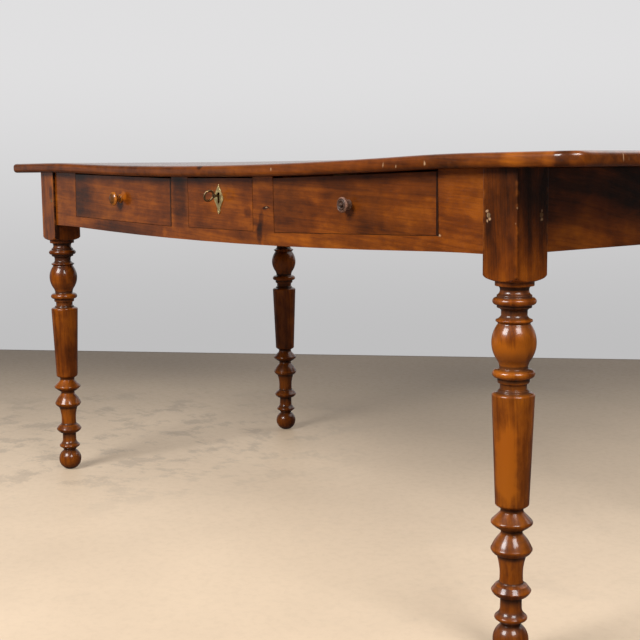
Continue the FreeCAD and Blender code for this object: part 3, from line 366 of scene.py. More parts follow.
def walnut(name, grain="X", seed=0.0, about=(0, 0, 0), tone=0.5, pith=(0.03, 0.06), drift=(0.02, 0.05),
           bend=0.008, contrast=1.0, marks=(), chips=(), polish=0.7, rough=0.34):
    """Figured walnut under an old French polish, or bare where there is no polish.

    The growth rings run round a pith line that lies beside the piece and drifts along the grain.
    """
    colours = bpy.context.scene.table_colours
    material, start = material_start(name)
    place, (along, across, deep) = places(start, grain, about)
    seeded = place.vector("ADD", (seed, seed * 0.7, seed * 1.3))
    wave = start.xyz(along * 3.0 + seed, across * 8.0, deep * 8.0).noise(1.0, 3, 0.45) - 0.5
    side = across + along * drift[0] + wave * (bend * 2.6) - pith[0]
    depth = deep + along * drift[1] + wave * bend - pith[1]

    def grained(lengthwise, crosswise, detail, roughness):
        """Noise drawn out along the grain."""
        spot = start.xyz(along * lengthwise + seed, side * crosswise, depth * crosswise)
        return spot.noise(1.0, detail, roughness)

    ring = start.xyz(side, depth).length()
    bands = (ring + seed).noise(75, 3, 0.6, "1D").step(0.25, 0.75)
    lines = (ring + seed * 2).noise(420, 2, 0.6, "1D").step(0.52, 0.78)
    flame = grained(9, 34, 5, 0.62)
    streak = grained(14, 330, 4, 0.62)
    pores = grained(95, 1500, 2, 0.5).step(0.60, 0.70)
    blotch = seeded.noise(8.0, 4, 0.55)
    ripple = start.xyz(along * 75, side * 16, depth * 16 + seed).noise(1.0, 3)
    curl = start.xyz(along * 26 + flame * 1.6, side * 40 + flame * 1.2, depth * 40 + seed)
    mottle = curl.noise(1.0, 4, 0.6)
    shade = ((blotch - 0.5) * 0.90 + (flame - 0.5) * 0.74 + (mottle - 0.5) * 0.56 + (bands - 0.5) * 0.18
             + (streak - 0.5) * 0.36 - lines * 0.10 - pores * 0.06 + (ripple - 0.5) * 0.10)
    shade = shade * contrast + tone
    rag = seeded.noise(55, 3) - 0.5
    ragged = place.vector("ADD", start.xyz(rag * 0.014, rag * 0.006, rag * -0.010))
    for centre, size, change in marks:
        shade = shade + (place if change < GAP_SHADE else ragged).spot(centre, size) * change
    stops = ((0.0, colours.walnut_dark), (0.28, colours.walnut_deep), (0.58, colours.walnut_warm),
             (1.0, colours.walnut_gold))
    colour = shade.node("ShaderNodeValToRGB", {"stops": stops}, {0: shade})
    colour = (seeded.noise(6.0, 2).step(0.35, 0.65) * 0.3).mix(colour, RED_CAST, "MULTIPLY")
    groove = start.kept("groove")
    colour = (groove * (0.70 + 0.5 * rag)).mix(colour, colours.dirt)
    patchy = start.kept("worn") * seeded.noise(70, 2).step(0.42, 0.66) * 0.35
    colour = patchy.mix(colour, colours.walnut_gold)
    for centre, size in chips:
        colour = (ragged.spot(centre, size) * 0.8).mix(colour, CHIPPED_WOOD)
    smudge = seeded.noise(38, 4, 0.6)
    roughness = smudge * 0.22 + rough - 0.05 + pores * 0.10 + groove * 0.25 + patchy * 0.2
    height = seeded.noise(26, 2) * 1.2 + streak * 0.22 - pores * 0.5 - lines * 0.05
    shaded(start, {"Base Color": colour, "Roughness": roughness, "Specular IOR Level": 0.12,
                   "Coat Weight": polish, "Coat Roughness": 0.15, "Coat IOR": 1.42}, height, 0.30, 0.0006)
    return material


def plain_wood(name, grain, seed, base, dark=0.62, rough=0.62, coat=0.0, fine=1.0):
    """Straight-grained wood with fine growth lines, such as the drawers' linings, pegs and knobs."""
    material, start = material_start(name)
    place, (along, across, deep) = places(start, grain, (0, 0, 0))
    seeded = place.vector("ADD", (seed, seed, seed))
    wave = seeded.noise(5, 2) - 0.5
    rings = start.xyz(along * 0.10, across * fine + wave * 0.02, deep * fine + seed)
    bands = rings.noise(85, 3, 0.55).step(0.30, 0.70)
    fibre = start.xyz(along * 22, across * 900 * fine, deep * 900 * fine + seed).noise(1, 3)
    stain = seeded.noise(7, 4, 0.6).step(0.30, 0.75)
    colour = bands.mix(scaled(base, dark), base)
    colour = (fibre.step(0.35, 0.7) * 0.45).mix(colour, FIBRE_SHADE, "MULTIPLY")
    colour = (stain * 0.35).mix(colour, DAMP_STAIN, "MULTIPLY")
    colour = (start.kept("groove") * 0.8).mix(colour, bpy.context.scene.table_colours.dirt)
    shaded(start, {"Base Color": colour, "Roughness": fibre * 0.2 + rough - 0.1, "Specular IOR Level": 0.2,
                   "Coat Weight": coat, "Coat Roughness": 0.12},
           fibre * 0.6 + bands * 0.3, 0.4, 0.0003)
    return material


def metal(name, base, dull, tarnish, rough, spots=0.5):
    """Old brass or iron: dull in patches, darker in the hollows, scratched."""
    material, start = material_start(name)
    place = start.place()
    patch = place.noise(160, 4, 0.6).step(0.35, 0.70)
    fleck = place.noise(900, 3, 0.6).step(0.52, 0.72)
    scratch = place.vector("MULTIPLY", (300, 300, 2600)).noise(1, 2).step(0.5, 0.8)
    colour = (patch * tarnish).mix(base, dull)
    colour = (fleck * spots).mix(colour, scaled(dull, 0.35))
    colour = start.kept("groove").mix(colour, bpy.context.scene.table_colours.dirt)
    shaded(start, {"Base Color": colour, "Roughness": patch * 0.22 + rough + fleck * 0.15,
                   "Metallic": 1.0 - patch * tarnish * 0.5 - fleck * 0.3},
           fleck * -0.6 + scratch * 0.25 + patch * 0.3, 0.35, 0.0002)
    return material


def linked(name, data):
    """A new object in the scene."""
    thing = bpy.data.objects.new(name, data)
    bpy.context.scene.collection.objects.link(thing)
    return thing


def settled(thing):
    """An object's mesh with its modifiers applied."""
    graph = bpy.context.evaluated_depsgraph_get()
    return bpy.data.meshes.new_from_object(thing.evaluated_get(graph))


def middle_of(node):
    """A CAD node's middle in millimetres."""
    low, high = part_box(node)
    return [value / MM for value in (low + high) / 2]


def body_of(node):
    """The body that a CAD node belongs to."""
    return frame["nodes"][node]["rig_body"]


def placed(bm, node, materials, angle=38):
    """Make a mesh the piece that stands for a CAD node."""
    for layer in ("groove", "worn"):
        if bm.verts.layers.float.get(layer) is None:
            bm.verts.layers.float.new(layer)
    mesh = bpy.data.meshes.new(f"{node}_finished")
    bm.to_mesh(mesh)
    bm.free()
    return dressed(mesh, node, materials, angle)


def dressed(mesh, node, materials, angle):
    """Give a mesh its materials, and the body of the CAD node that it stands for."""
    mesh.polygons.foreach_set("use_smooth", [True] * len(mesh.polygons))
    mesh.set_sharp_from_angle(angle=math.radians(angle))
    piece = linked(f"{node}_finished", mesh)
    if not len(mesh.materials):
        for material in materials:
            mesh.materials.append(material)
    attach(piece, body_of(node))
    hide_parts(node)
    return piece


def merged(node):
    """A CAD node's mesh as one closed skin."""
    bm = bmesh.new()
    bm.from_mesh(frame["nodes"][node].data)
    bmesh.ops.remove_doubles(bm, verts=bm.verts, dist=1e-6)
    return bm


def softened(node, materials, width, segments=3, shortest=0.004, is_dull=None, angle=30,
             is_gap_shaded=None):
    """A CAD node's own shape with its long edges worn round, and painted with the gap's shade where they meet
    a gap.
    """
    bm = merged(node)
    bmesh.ops.dissolve_limit(bm, angle_limit=math.radians(0.4), verts=bm.verts, edges=bm.edges)
    edges = [edge for edge in bm.edges if len(edge.link_faces) == 2
             and edge.calc_length() > shortest and edge.calc_face_angle() > math.radians(angle)]
    result = bmesh.ops.bevel(bm, geom=edges, offset=width, segments=segments, profile=0.5,
                             affect="EDGES", clamp_overlap=True)
    fresh = set(result["faces"])
    worn = bm.verts.layers.float.new("worn")
    for vertex in bm.verts:
        vertex[worn] = float(all(face in fresh for face in vertex.link_faces))
    for face in bm.faces:
        # Worn edges beside a gap take the last material, which paints the gap's shade.
        if face in fresh and is_gap_shaded and is_gap_shaded(face.calc_center_median()):
            face.material_index = len(materials) - 1
        elif is_dull:
            face.material_index = int(is_dull(face.normal))
    piece = placed(bm, node, materials)
    # The large faces are shaded flat, so that only the worn edges look round.
    piece.modifiers.new("normals", "WEIGHTED_NORMAL").keep_sharp = True
    mesh = settled(piece)
    piece.modifiers.clear()
    mesh.name = piece.name
    piece.data = mesh


def arc_points(start, stop, swell, spacing):
    """Points from start up to but without stop, along a swelling arc."""
    start, stop = Vector(start), Vector(stop)
    chord = stop - start
    if not swell:
        count = max(1, int(chord.length / spacing))
        return [start + chord * (step / count) for step in range(count)]
    half = chord.length / 2
    out = Vector((chord.y, -chord.x)).normalized() * math.copysign(1, swell)
    rise = half * abs(swell)
    radius = (half ** 2 + rise ** 2) / (2 * rise)
    centre = (start + stop) / 2 + out * (rise - radius)
    reach = 2 * math.atan(abs(swell))
    count = max(3, int(2 * reach * radius / spacing))
    turns = [reach * (2 * step / count - 1) for step in range(count)]
    return [centre + out * (radius * math.cos(turn)) + chord.normalized() * (radius * math.sin(turn))
            for turn in turns]


def smooth_profile(rows, radius, length, spacing, passes=2, tolerance=0.000012):
    """A turned outline in metres, with its sharp corners eased and its straight runs thinned."""
    points = []
    for (r, h, swell), (r2, h2, _) in zip(rows, rows[1:]):
        points += arc_points((r * radius, h * length), (r2 * radius, h2 * length), swell, spacing)
    points.append(Vector((rows[-1][0] * radius, rows[-1][1] * length)))
    line = np.array([tuple(point) for point in points])
    for _ in range(passes):
        line[1:-1] = (line[:-2] + 2 * line[1:-1] + line[2:]) / 4
    keep = [0]
    for index in range(1, len(line) - 1):
        start, stop = line[keep[-1]], line[index + 1]
        chord = stop - start
        middle = line[keep[-1] + 1:index + 1] - start
        away = abs(middle[:, 0] * chord[1] - middle[:, 1] * chord[0]) / max(np.hypot(*chord), 1e-9)
        if away.max() > tolerance:
            keep.append(index)
    return line[keep + [len(line) - 1]]


def hollow_depths(line, reach=0.006, deepest=0.006, widest=1.0):
    """How deep each point of a turned outline lies under its neighbours, from 0 to 1."""
    near = abs(line[:, None, 1] - line[None, :, 1]) < reach
    radii = np.minimum(line[:, 0], widest)
    highest = np.where(near, radii[None, :], 0).max(axis=1)
    return np.clip((highest - radii) / deepest, 0, 1) ** 1.3


def skin(rings):
    """A closed mesh through rings of the same number of points."""
    bm = bmesh.new()
    rows = [[bm.verts.new(point) for point in ring] for ring in rings]
    count = len(rows[0])
    for low, high in zip(rows, rows[1:]):
        for index in range(count):
            follows = (index + 1) % count
            bm.faces.new((low[index], low[follows], high[follows], high[index]))
    bm.faces.new(list(reversed(rows[0])))
    bm.faces.new(rows[-1])
    return bm


def square_reach(turn, half, corner):
    """How far a square with rounded corners reaches from its middle at an angle."""
    x, y = abs(math.cos(turn)), abs(math.sin(turn))
    reach = half / max(x, y)
    if reach * min(x, y) <= half - corner:
        return reach
    dot = (x + y) * (half - corner)
    return dot + math.sqrt(max(dot ** 2 - 2 * (half - corner) ** 2 + corner ** 2, 0))


def block_turns(half, corner, straight=10, round_steps=3):
    """The angles of a leg's rings: denser at the corners of its block."""
    edge = math.atan((half - corner) / half)
    octant = list(np.linspace(0, edge, straight, endpoint=False))
    octant += list(np.linspace(edge, math.pi / 4, round_steps, endpoint=False))
    quarter = octant + [math.pi / 4] + [math.pi / 2 - turn for turn in reversed(octant[1:])]
    return [turn + quadrant * math.pi / 2 for quadrant in range(4) for turn in quarter]


def leg_mesh(node, sizes, seed):
    """A leg: turned from the foot to the collar, square above."""
    low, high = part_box(node)
    middle = (low + high) / 2
    half = (high.x - low.x) / 2
    block_start = high.z - BLOCK_HEIGHT
    profile = smooth_profile(LEG_TURNING, half, block_start, 0.0004)
    hollows = hollow_depths(profile, widest=half * 0.96)
    heights = list(np.linspace(block_start, high.z, 9))[1:]
    profile = np.vstack([profile, [[half * PAST_BLOCK, height] for height in heights]])
    hollows = np.concatenate([hollows, np.zeros(len(heights))])
    turns = block_turns(half, sizes.block_wear)
    limits = [square_reach(turn, half, sizes.block_wear) for turn in turns]
    rings = []
    for radius, height in profile:
        ring = []
        for turn, limit in zip(turns, limits):
            way = Vector((math.cos(turn), math.sin(turn), 0))
            spot = Vector((middle.x, middle.y, height))
            rough = noise.noise((spot + way * radius) * 60 + Vector((seed, 0, 0)))
            reach = min(radius, limit)
            if radius < limit and height > 0.001:
                reach += rough * sizes.turning_wobble
            ring.append(spot + way * min(reach, limit))
        rings.append(ring)
    bm = skin(rings)
    groove = bm.verts.layers.float.new("groove")
    worn = bm.verts.layers.float.new("worn")
    bm.verts.ensure_lookup_table()
    for index, vertex in enumerate(bm.verts):
        row, column = divmod(index, len(turns))
        vertex[groove] = hollows[row]
        at_corner = limits[column] > half * WORN_CORNER
        vertex[worn] = float(profile[row][0] > limits[column] and at_corner)
    return bm


def knob_mesh(node, rows, wobble=0.0, spacing=0.00025, steps=64, sunk=0.0004):
    """A knob turned about the line along which its drawer opens, its foot sunk into the front."""
    low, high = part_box(node)
    radius = min(high.x - low.x, high.z - low.z) / 2 / max(row[0] for row in rows) * 0.999
    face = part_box(node.replace("_knob", "_front"))[0].y
    line = smooth_profile(rows, radius, face - low.y, spacing)
    hollows = hollow_depths(line, 0.003, 0.004)
    middle = (low + high) / 2
    rings = []
    for r, out in line:
        ring = []
        for step in range(steps):
            turn = -math.tau * step / steps
            rough = 1 + wobble * noise.noise(Vector((math.cos(turn) * 2, math.sin(turn) * 2, out * 200)))
            ring.append(Vector((middle.x + math.cos(turn) * r * rough, face + sunk * (out == 0) - out,
                                middle.z + math.sin(turn) * r * rough)))
        rings.append(ring)
    bm = skin(rings)
    bmesh.ops.recalc_face_normals(bm, faces=bm.faces)
    groove = bm.verts.layers.float.new("groove")
    for index, vertex in enumerate(bm.verts):
        vertex[groove] = hollows[index // steps]
    return bm


# The front edge hangs in an arc between the legs, and the sag dies out over the top's three boards.
LEG_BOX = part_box("front_right_leg")
SAG = LEG_BOX[1].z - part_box("front_top_board")[0].z
SAG_END = LEG_BOX[0].x
SAG_ARC_SHARE = 0.8
SAG_ARC = SAG_END * SAG_ARC_SHARE
FRONT_INSIDE, FRONT_JOINT, REAR_JOINT = scaled((-343.5, -125, 125), MM)


def sag_depth(x):
    """How far the front edge hangs under its straight line at x, in metres."""
    if abs(x) >= SAG_END:
        return 0.0
    if abs(x) <= SAG_ARC:
        return SAG - x * x * SAG / (SAG_END * SAG_ARC)
    return SAG * (1 - SAG_ARC_SHARE) * ((SAG_END - abs(x)) / (SAG_END - SAG_ARC)) ** 2


def sag_share(y):
    """The share of the front's sag that is left at y."""
    if y <= FRONT_INSIDE:
        return 1.0
    if y <= FRONT_JOINT:
        return 1.0 - 0.5 * (y - FRONT_INSIDE) / (FRONT_JOINT - FRONT_INSIDE)
    return max(0.0, 0.5 * (REAR_JOINT - y) / (REAR_JOINT - FRONT_JOINT))


def top_slab(sizes, steps=12):
    """The whole top as one flat slab with a rounded rim and rounded corners."""
    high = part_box("front_top_board")[1]
    rear_low, rear_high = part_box("rear_top_board")
    outline = []
    for side_x, side_y, first in ((1, -1, -90), (1, 1, 0), (-1, 1, 90), (-1, -1, 180)):
        radius = sizes.right_corner_radius if side_x > 0 else sizes.left_corner_radius
        centre = Vector((side_x * (high.x - radius), side_y * (rear_high.y - radius), rear_low.z))
        for step in range(steps + 1):
            turn = math.radians(first + 90 * step / steps)
            outline.append(centre + Vector((math.cos(turn), math.sin(turn), 0)) * radius)
    bm = bmesh.new()
    base = bm.faces.new([bm.verts.new(point) for point in outline])
    raised = bmesh.ops.extrude_face_region(bm, geom=[base])
    for item in raised["geom"]:
        if isinstance(item, bmesh.types.BMVert):
            item.co.z = high.z
    bmesh.ops.recalc_face_normals(bm, faces=bm.faces)
    rim = [edge for edge in bm.edges if abs(edge.verts[0].co.z - edge.verts[1].co.z) < 1e-6]
    bmesh.ops.bevel(bm, geom=rim, offset=sizes.rim_radius, segments=7, profile=0.5, affect="EDGES")
    return bm


def everything(bm):
    """All of a mesh, as the cutting operators want it."""
    return [*bm.verts, *bm.edges, *bm.faces]


def cut_across(bm, axis, values):
    """Divide a mesh by planes across an axis."""
    for value in values:
        normal = Vector([float(index == axis) for index in range(3)])
        bmesh.ops.bisect_plane(bm, geom=everything(bm), plane_co=normal * value, plane_no=normal,
                               dist=1e-6)


def pocket(bm, node, margin, depth):
    """Sink a hollow into the underside where a CAD piece enters it."""
    low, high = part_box(node)
    low, high = low - Vector((1, 1, 1)) * margin, high + Vector((1, 1, 1)) * margin
    cut_across(bm, 0, (low.x, high.x))
    cut_across(bm, 1, (low.y, high.y))
    bm.normal_update()
    floor = []
    for face in bm.faces:
        middle = face.calc_center_median()
        if face.normal.z < -0.9 and low.x < middle.x < high.x and low.y < middle.y < high.y:
            floor.append(face)
    sunk = bmesh.ops.extrude_face_region(bm, geom=floor)["geom"]
    bmesh.ops.translate(bm, vec=(0, 0, depth),
                        verts=[item for item in sunk if isinstance(item, bmesh.types.BMVert)])
    bmesh.ops.delete(bm, geom=[face for face in floor if face.is_valid], context="FACES")


RIM_BAND = 0.02
RIM_EDGE = 0.007
RIM_WEAR = 0.3
TOP_CUTS_X = np.linspace(-0.86, 0.86, 87)
TOP_CUTS_Y = scaled((-343.5, -300, -250, -200, -160, -80, -40, 0, 40, 80, 200, 300), MM)


def top_board(slab, node, low_y, high_y):
    """One board of the top, cut from the slab and bent to the sag."""
    bm = slab.copy()
    for value, side in ((low_y, -1), (high_y, 1)):
        if value is None:
            continue
        cut = bmesh.ops.bisect_plane(bm, geom=everything(bm), dist=1e-6, plane_co=(0, value, 0),
                                     plane_no=(0, side, 0), clear_outer=True)
        rim = [item for item in cut["geom_cut"] if isinstance(item, bmesh.types.BMEdge)]
        bmesh.ops.contextual_create(bm, geom=rim)
    cut_across(bm, 0, TOP_CUTS_X)
    cut_across(bm, 1, [value for value in TOP_CUTS_Y
                       if (low_y or -1) + 0.001 < value < (high_y or 1) - 0.001])
    if node == "front_top_board":
        pocket(bm, "strike_plate", 0.00005, 0.00205)
        pocket(bm, "lock_bolt", 0.0003, 0.0080)
    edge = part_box("rear_top_board")[1]
    worn = bm.verts.layers.float.new("worn")
    for vertex in bm.verts:
        point = vertex.co
        gap_x, gap_y = edge.x - abs(point.x), edge.y - abs(point.y)
        rim_gap = min(gap_x, gap_y)
        if rim_gap < RIM_BAND:
            dent = noise.noise(point * 14) * 0.0009 + noise.noise(point * 55) * 0.0004
            inward = Vector((-math.copysign(1, point.x) * (gap_x < RIM_BAND),
                             -math.copysign(1, point.y) * (gap_y < RIM_BAND), 0))
            vertex.co += inward * max(0.0, dent + 0.0002)
        vertex[worn] = RIM_WEAR * (rim_gap < RIM_EDGE)
        vertex.co.z -= sag_depth(point.x) * sag_share(point.y)
    bmesh.ops.recalc_face_normals(bm, faces=bm.faces)
    for face in bm.faces:
        face.material_index = int(face.normal.z < -0.9)
    return bm


def islands(node):
    """The lowest and highest corner of each separate solid in a CAD node, always in the same order."""
    bm = merged(node)
    unseen = set(bm.verts)
    found = []
    while unseen:
        stack = [unseen.pop()]
        group = []
        while stack:
            vertex = stack.pop()
            group.append(vertex.co.copy())
            for edge in vertex.link_edges:
                other = edge.other_vert(vertex)
                if other in unseen:
                    unseen.discard(other)
                    stack.append(other)
        found.append((Vector(map(min, *group)), Vector(map(max, *group))))
    bm.free()
    return sorted(found, key=lambda corners: tuple(corners[0]))


def head_of(low, high, axis, sign):
    """The middle of a fastener's head, and its length, when it points along an axis."""
    head = (low + high) / 2
    head[axis] = low[axis] if sign > 0 else high[axis]
    return head, high[axis] - low[axis]


FASTENER_INPUTS = {
    "Head Radius": "Float", "Head Height": "Float", "Shank Radius": "Float", "Length": "Float",
    "Slot Width": "Float", "Unevenness": "Float", "Seed": "Int", "Material": "Material",
}


def fastener_tree(kind):
    """A geometry tree that sets a screw, a pin or a peg at each point, along its own direction."""
    tree = bpy.data.node_groups.new(f"{kind}_at_points", "GeometryNodeTree")
    for name, sort in {"Geometry": "Geometry", **FASTENER_INPUTS}.items():
        tree.interface.new_socket(name, in_out="INPUT", socket_type=f"NodeSocket{sort}")
    tree.interface.new_socket("Geometry", in_out="OUTPUT", socket_type="NodeSocketGeometry")
    group = tree.nodes.new("NodeGroupInput")
    wires = {socket.name: Wire(tree, socket) for socket in group.outputs if socket.name}
    head_radius, head_height, shank_radius = [wires[name] for name in list(FASTENER_INPUTS)[:3]]
    start = Wire(tree)

    def cone(sides, top, bottom, depth, rows=1):
        return start.node("GeometryNodeMeshCone", {}, {
            "Vertices": sides, "Side Segments": rows, "Radius Top": top, "Radius Bottom": bottom,
            "Depth": depth})

    shank = cone(20, shank_radius, shank_radius, wires["Length"])
    if kind == "screw":
        head = cone(32, shank_radius, head_radius, head_height)
        size = start.xyz(head_radius * 3.0, wires["Slot Width"], head_height)
        slot = start.node("GeometryNodeMeshCube", {}, {"Size": size})
        head = start.node("GeometryNodeMeshBoolean", {"operation": "DIFFERENCE", "solver": "EXACT"},
                          {0: head, 1: slot})
    elif kind == "pin":
        ball = start.node("GeometryNodeMeshUVSphere", {}, {
            "Segments": 20, "Rings": 12, "Radius": head_radius})
        head = start.node("GeometryNodeTransform", {}, {
            "Geometry": ball, "Scale": start.xyz(1.0, 1.0, head_height * 650),
            "Translation": start.xyz(z=head_height)})
    else:
        head = cone(13, head_radius, head_radius * 0.93, head_height)
        shank = cone(13, shank_radius, shank_radius, wires["Length"], 6)
    both = tree.nodes.new("GeometryNodeJoinGeometry")
    for part in (shank, head):
        tree.links.new(part.socket, both.inputs[0])
    facing = start.node("GeometryNodeInputNamedAttribute", {"data_type": "FLOAT_VECTOR"}, {"Name": "facing"})
    way = start.node("FunctionNodeAlignRotationToVector", {"axis": "Z"}, {"Vector": facing})
    spin = start.node("FunctionNodeRandomValue", {"data_type": "FLOAT"},
                      {2: 0.0, 3: math.tau, "Seed": wires["Seed"]}, 1)
    spin = start.node("FunctionNodeEulerToRotation", {}, {0: start.xyz(z=spin)})
    turned = start.node("FunctionNodeRotateRotation", {"rotation_space": "LOCAL"}, {0: way, 1: spin})
    copies = start.node("GeometryNodeInstanceOnPoints", {}, {
        "Points": wires["Geometry"], "Instance": Wire(tree, both.outputs[0]), "Rotation": turned})
    real = start.node("GeometryNodeRealizeInstances", {}, {0: copies})
    place = start.node("GeometryNodeInputPosition")
    rough = place.node("ShaderNodeTexNoise", {}, {"Vector": place, "Scale": 420.0, "Detail": 2.0}, "Color")
    amount = start.xyz(*[wires["Unevenness"]] * 3)
    uneven = start.node("GeometryNodeSetPosition", {}, {
        "Geometry": real, "Offset": rough.vector("SUBTRACT", (0.5, 0.5, 0.5)).vector("MULTIPLY", amount)})
    made = start.node("GeometryNodeSetMaterial", {}, {"Geometry": uneven, "Material": wires["Material"]})
    out = tree.nodes.new("NodeGroupOutput")
    tree.links.new(made.socket, out.inputs[0])
    return tree


def fasteners(kind, node, material, axis_of, head_and_shank, slot_width=0.0, unevenness=0.0):
    """Screws, pins or pegs in place of a CAD node's, one for each of its solids."""
    heads = [(low, high, *axis_of(low, high)) for low, high in islands(node)]
    spots = [head_of(*head) for head in heads]
    mesh = bpy.data.meshes.new(f"{node}_points")
    mesh.from_pydata([tuple(head) for head, _ in spots], [], [])
    facing = mesh.attributes.new("facing", "FLOAT_VECTOR", "POINT")
    for index, (_, _, axis, sign) in enumerate(heads):
        facing.data[index].vector = [float(sign) * (axis == number) for number in range(3)]
    carrier = linked(f"{node}_points", mesh)
    tree = fastener_tree(kind)
    modifier = carrier.modifiers.new("fasteners", "NODES")
    modifier.node_group = tree
    values = dict(zip(FASTENER_INPUTS, (*head_and_shank, spots[0][1], slot_width, unevenness, 7, material)))
    for item in tree.interface.items_tree:
        if item.in_out == "INPUT" and item.name in values:
            modifier[item.identifier] = values[item.name]
    made = settled(carrier)
    made.name = f"{node}_finished"
    bpy.data.objects.remove(carrier)
    dressed(made, node, [material], 30)


def outward(low, high):
    """A peg's axis is its longest, and its head is on the outside."""
    spans = high - low
    axis = max(range(3), key=lambda index: spans[index])
    return axis, (1 if (low + high)[axis] < 0 else -1)


# Where the edges round the drawers' openings get painted shade: how far under a drawer, how far out, and
# before which depth.
RAIL_GAP = 0.004
ROW_END = 0.615
FRONT_EDGES = -0.360


def face_marks(*rows):
    """Marks on the table's front."""
    return [((x, FRONT_FACE, z), (width, 20, height), change) for x, z, width, height, change in rows]


class Undoable:
    """Shared by the table's operators."""
    bl_options = {"REGISTER", "UNDO"}


class TABLE_OT_top(Undoable, bpy.types.Operator):
    """Make the three boards of the top"""
    bl_idname = "writing_table.top"
    bl_label = "Top"

    def execute(self, context):
        slab = top_slab(context.scene.table_sizes)
        dull = walnut("walnut_unpolished", seed=5.1, tone=0.34, contrast=0.7, polish=0.0, rough=0.62)
        front = walnut("walnut_front_board", seed=1.3, about=(0, -260, 750), tone=0.46, pith=(0.10, 0.20),
                       contrast=0.9, marks=(*RIM_MARKS, FRONT_GAP), chips=RIM_CHIPS)
        middle = walnut("walnut_middle_board", seed=8.7, about=(0, 0, 750), tone=0.53, pith=(-0.02, 0.12),
                        marks=(FRONT_GAP, REAR_GAP))
        rear = walnut("walnut_rear_board", seed=3.9, about=(0, 260, 750), tone=0.46, pith=(0.05, 0.15),
                      marks=(REAR_GAP,))
        for node, low_y, high_y, finish in (
                ("front_top_board", None, FRONT_JOINT, front),
                ("middle_top_board", FRONT_JOINT, REAR_JOINT, middle),
                ("rear_top_board", REAR_JOINT, None, rear)):
            placed(top_board(slab, node, low_y, high_y), node, [finish, dull], 50)
        slab.free()
        return {"FINISHED"}


class TABLE_OT_legs(Undoable, bpy.types.Operator):
    """Turn the four legs"""
    bl_idname = "writing_table.legs"
    bl_label = "Legs"

    def execute(self, context):
        for node, seed, tone, marks, chips in (
                ("front_right_leg", 2.2, 0.72, NEAR_LEG_MARKS_AND_PAINTED_LIGHT, PEG_CRUMBS),
                ("front_left_leg", 6.4, 0.64, FAR_LEG_MARKS_AND_PAINTED_SHADE, ()),
                ("rear_left_leg", 9.1, 0.68, (), ()), ("rear_right_leg", 4.6, 0.60, (), ())):
            finish = walnut(f"walnut_{node}", "Z", seed, middle_of(node), tone, (0.05, 0.03), (0.05, 0.02),
                            contrast=1.2, marks=marks, chips=chips, rough=0.27)
            placed(leg_mesh(node, context.scene.table_sizes, seed), node, [finish], 60)
        return {"FINISHED"}


class TABLE_OT_aprons(Undoable, bpy.types.Operator):
    """Finish the four boards under the top"""
    bl_idname = "writing_table.aprons"
    bl_label = "Aprons"

    def execute(self, context):
        wear = context.scene.table_sizes.edge_wear
        dull = bpy.data.materials["walnut_unpolished"]
        front = walnut("walnut_front_apron", seed=2.8, about=(0, FRONT_FACE, 670), tone=0.62,
                       pith=(0.06, 0.10), drift=(0.02, 0.06), marks=face_marks(*FRONT_BOARD_MARKS),
                       chips=FRONT_BOARD_CHIPS)
        rail_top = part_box("left_drawer_front")[0].z - RAIL_GAP
        # The gap material is darker bare walnut, a painted shade on the worn edges round the drawers'
        # openings.
        gap = walnut("walnut_painted_gap_shade", seed=4.3, tone=-0.1, contrast=0.3, polish=0.0, rough=0.7)
        softened("front_apron", [front, dull, gap], wear, is_dull=lambda normal: normal.y > 0.9,
                 is_gap_shaded=lambda place: place.z > rail_top - sag_depth(place.x) and abs(place.x) < ROW_END)
        rear = walnut("walnut_rear_apron", seed=11.2, about=(0, 367, 670), tone=0.44)
        softened("rear_apron", [rear, dull], wear, is_dull=lambda normal: normal.y < -0.9)
        for side, sign, seed, marks in (("left", -1, 7.7, ()), ("right", 1, 5.9, RIGHT_APRON_PAINTED_SHADE_AND_LIGHT)):
            finish = walnut(f"walnut_{side}_apron", "Y", seed, (sign * 763, 0, 670), 0.42, (0.05, 0.08),
                            (0.05, 0.12), 0.015, marks=marks)
            softened(f"{side}_apron", [finish, dull], wear,
                     is_dull=lambda normal, sign=sign: normal.x * sign < -0.9)
        return {"FINISHED"}


class TABLE_OT_drawers(Undoable, bpy.types.Operator):
    """Finish the three drawers' boards"""
    bl_idname = "writing_table.drawers"
    bl_label = "Drawers"

    def execute(self, context):
        pale = context.scene.table_colours.pale_wood
        gap = bpy.data.materials["walnut_painted_gap_shade"]
        side_wood = plain_wood("drawer_side_wood", "Y", 1.7, pale)
        back_wood = plain_wood("drawer_back_wood", "X", 4.2, pale)
        bottom_wood = plain_wood("drawer_bottom_wood", "X", 8.8, scaled(pale, 0.92))
        for side, tone, seed, pith in (("left", 0.56, 3.3, (0.01, 0.05)), ("middle", 0.70, 6.1, (0.02, 0.07)),
                                       ("right", 0.50, 9.4, (-0.02, 0.09))):
            node = f"{side}_drawer_front"
            marks = face_marks(*DRAWER_MARKS_AND_KNOB_GLOW[side])
            # The left and right drawer fronts get a straight dark strip at their right edge: a painted shadow
            # of the gap beside them.
            if side != "middle":
                marks += face_marks((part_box(node)[1].x / MM - 0.7, 680, 5.0, 400, -4.0))
            finish = walnut(f"walnut_{side}_drawer", "X", seed, middle_of(node), tone, pith, (0.03, 0.05),
                            marks=marks)
            softened(node, [finish, back_wood, gap], context.scene.table_sizes.edge_wear,
                     is_dull=lambda normal: normal.y > 0.9, is_gap_shaded=lambda place: place.y < FRONT_EDGES)
            for part, wood in (("left_side", side_wood), ("right_side", side_wood), ("back", back_wood),
                               ("bottom", bottom_wood)):
                softened(f"{side}_drawer_{part}", [wood], 0.0007, 2)
        return {"FINISHED"}


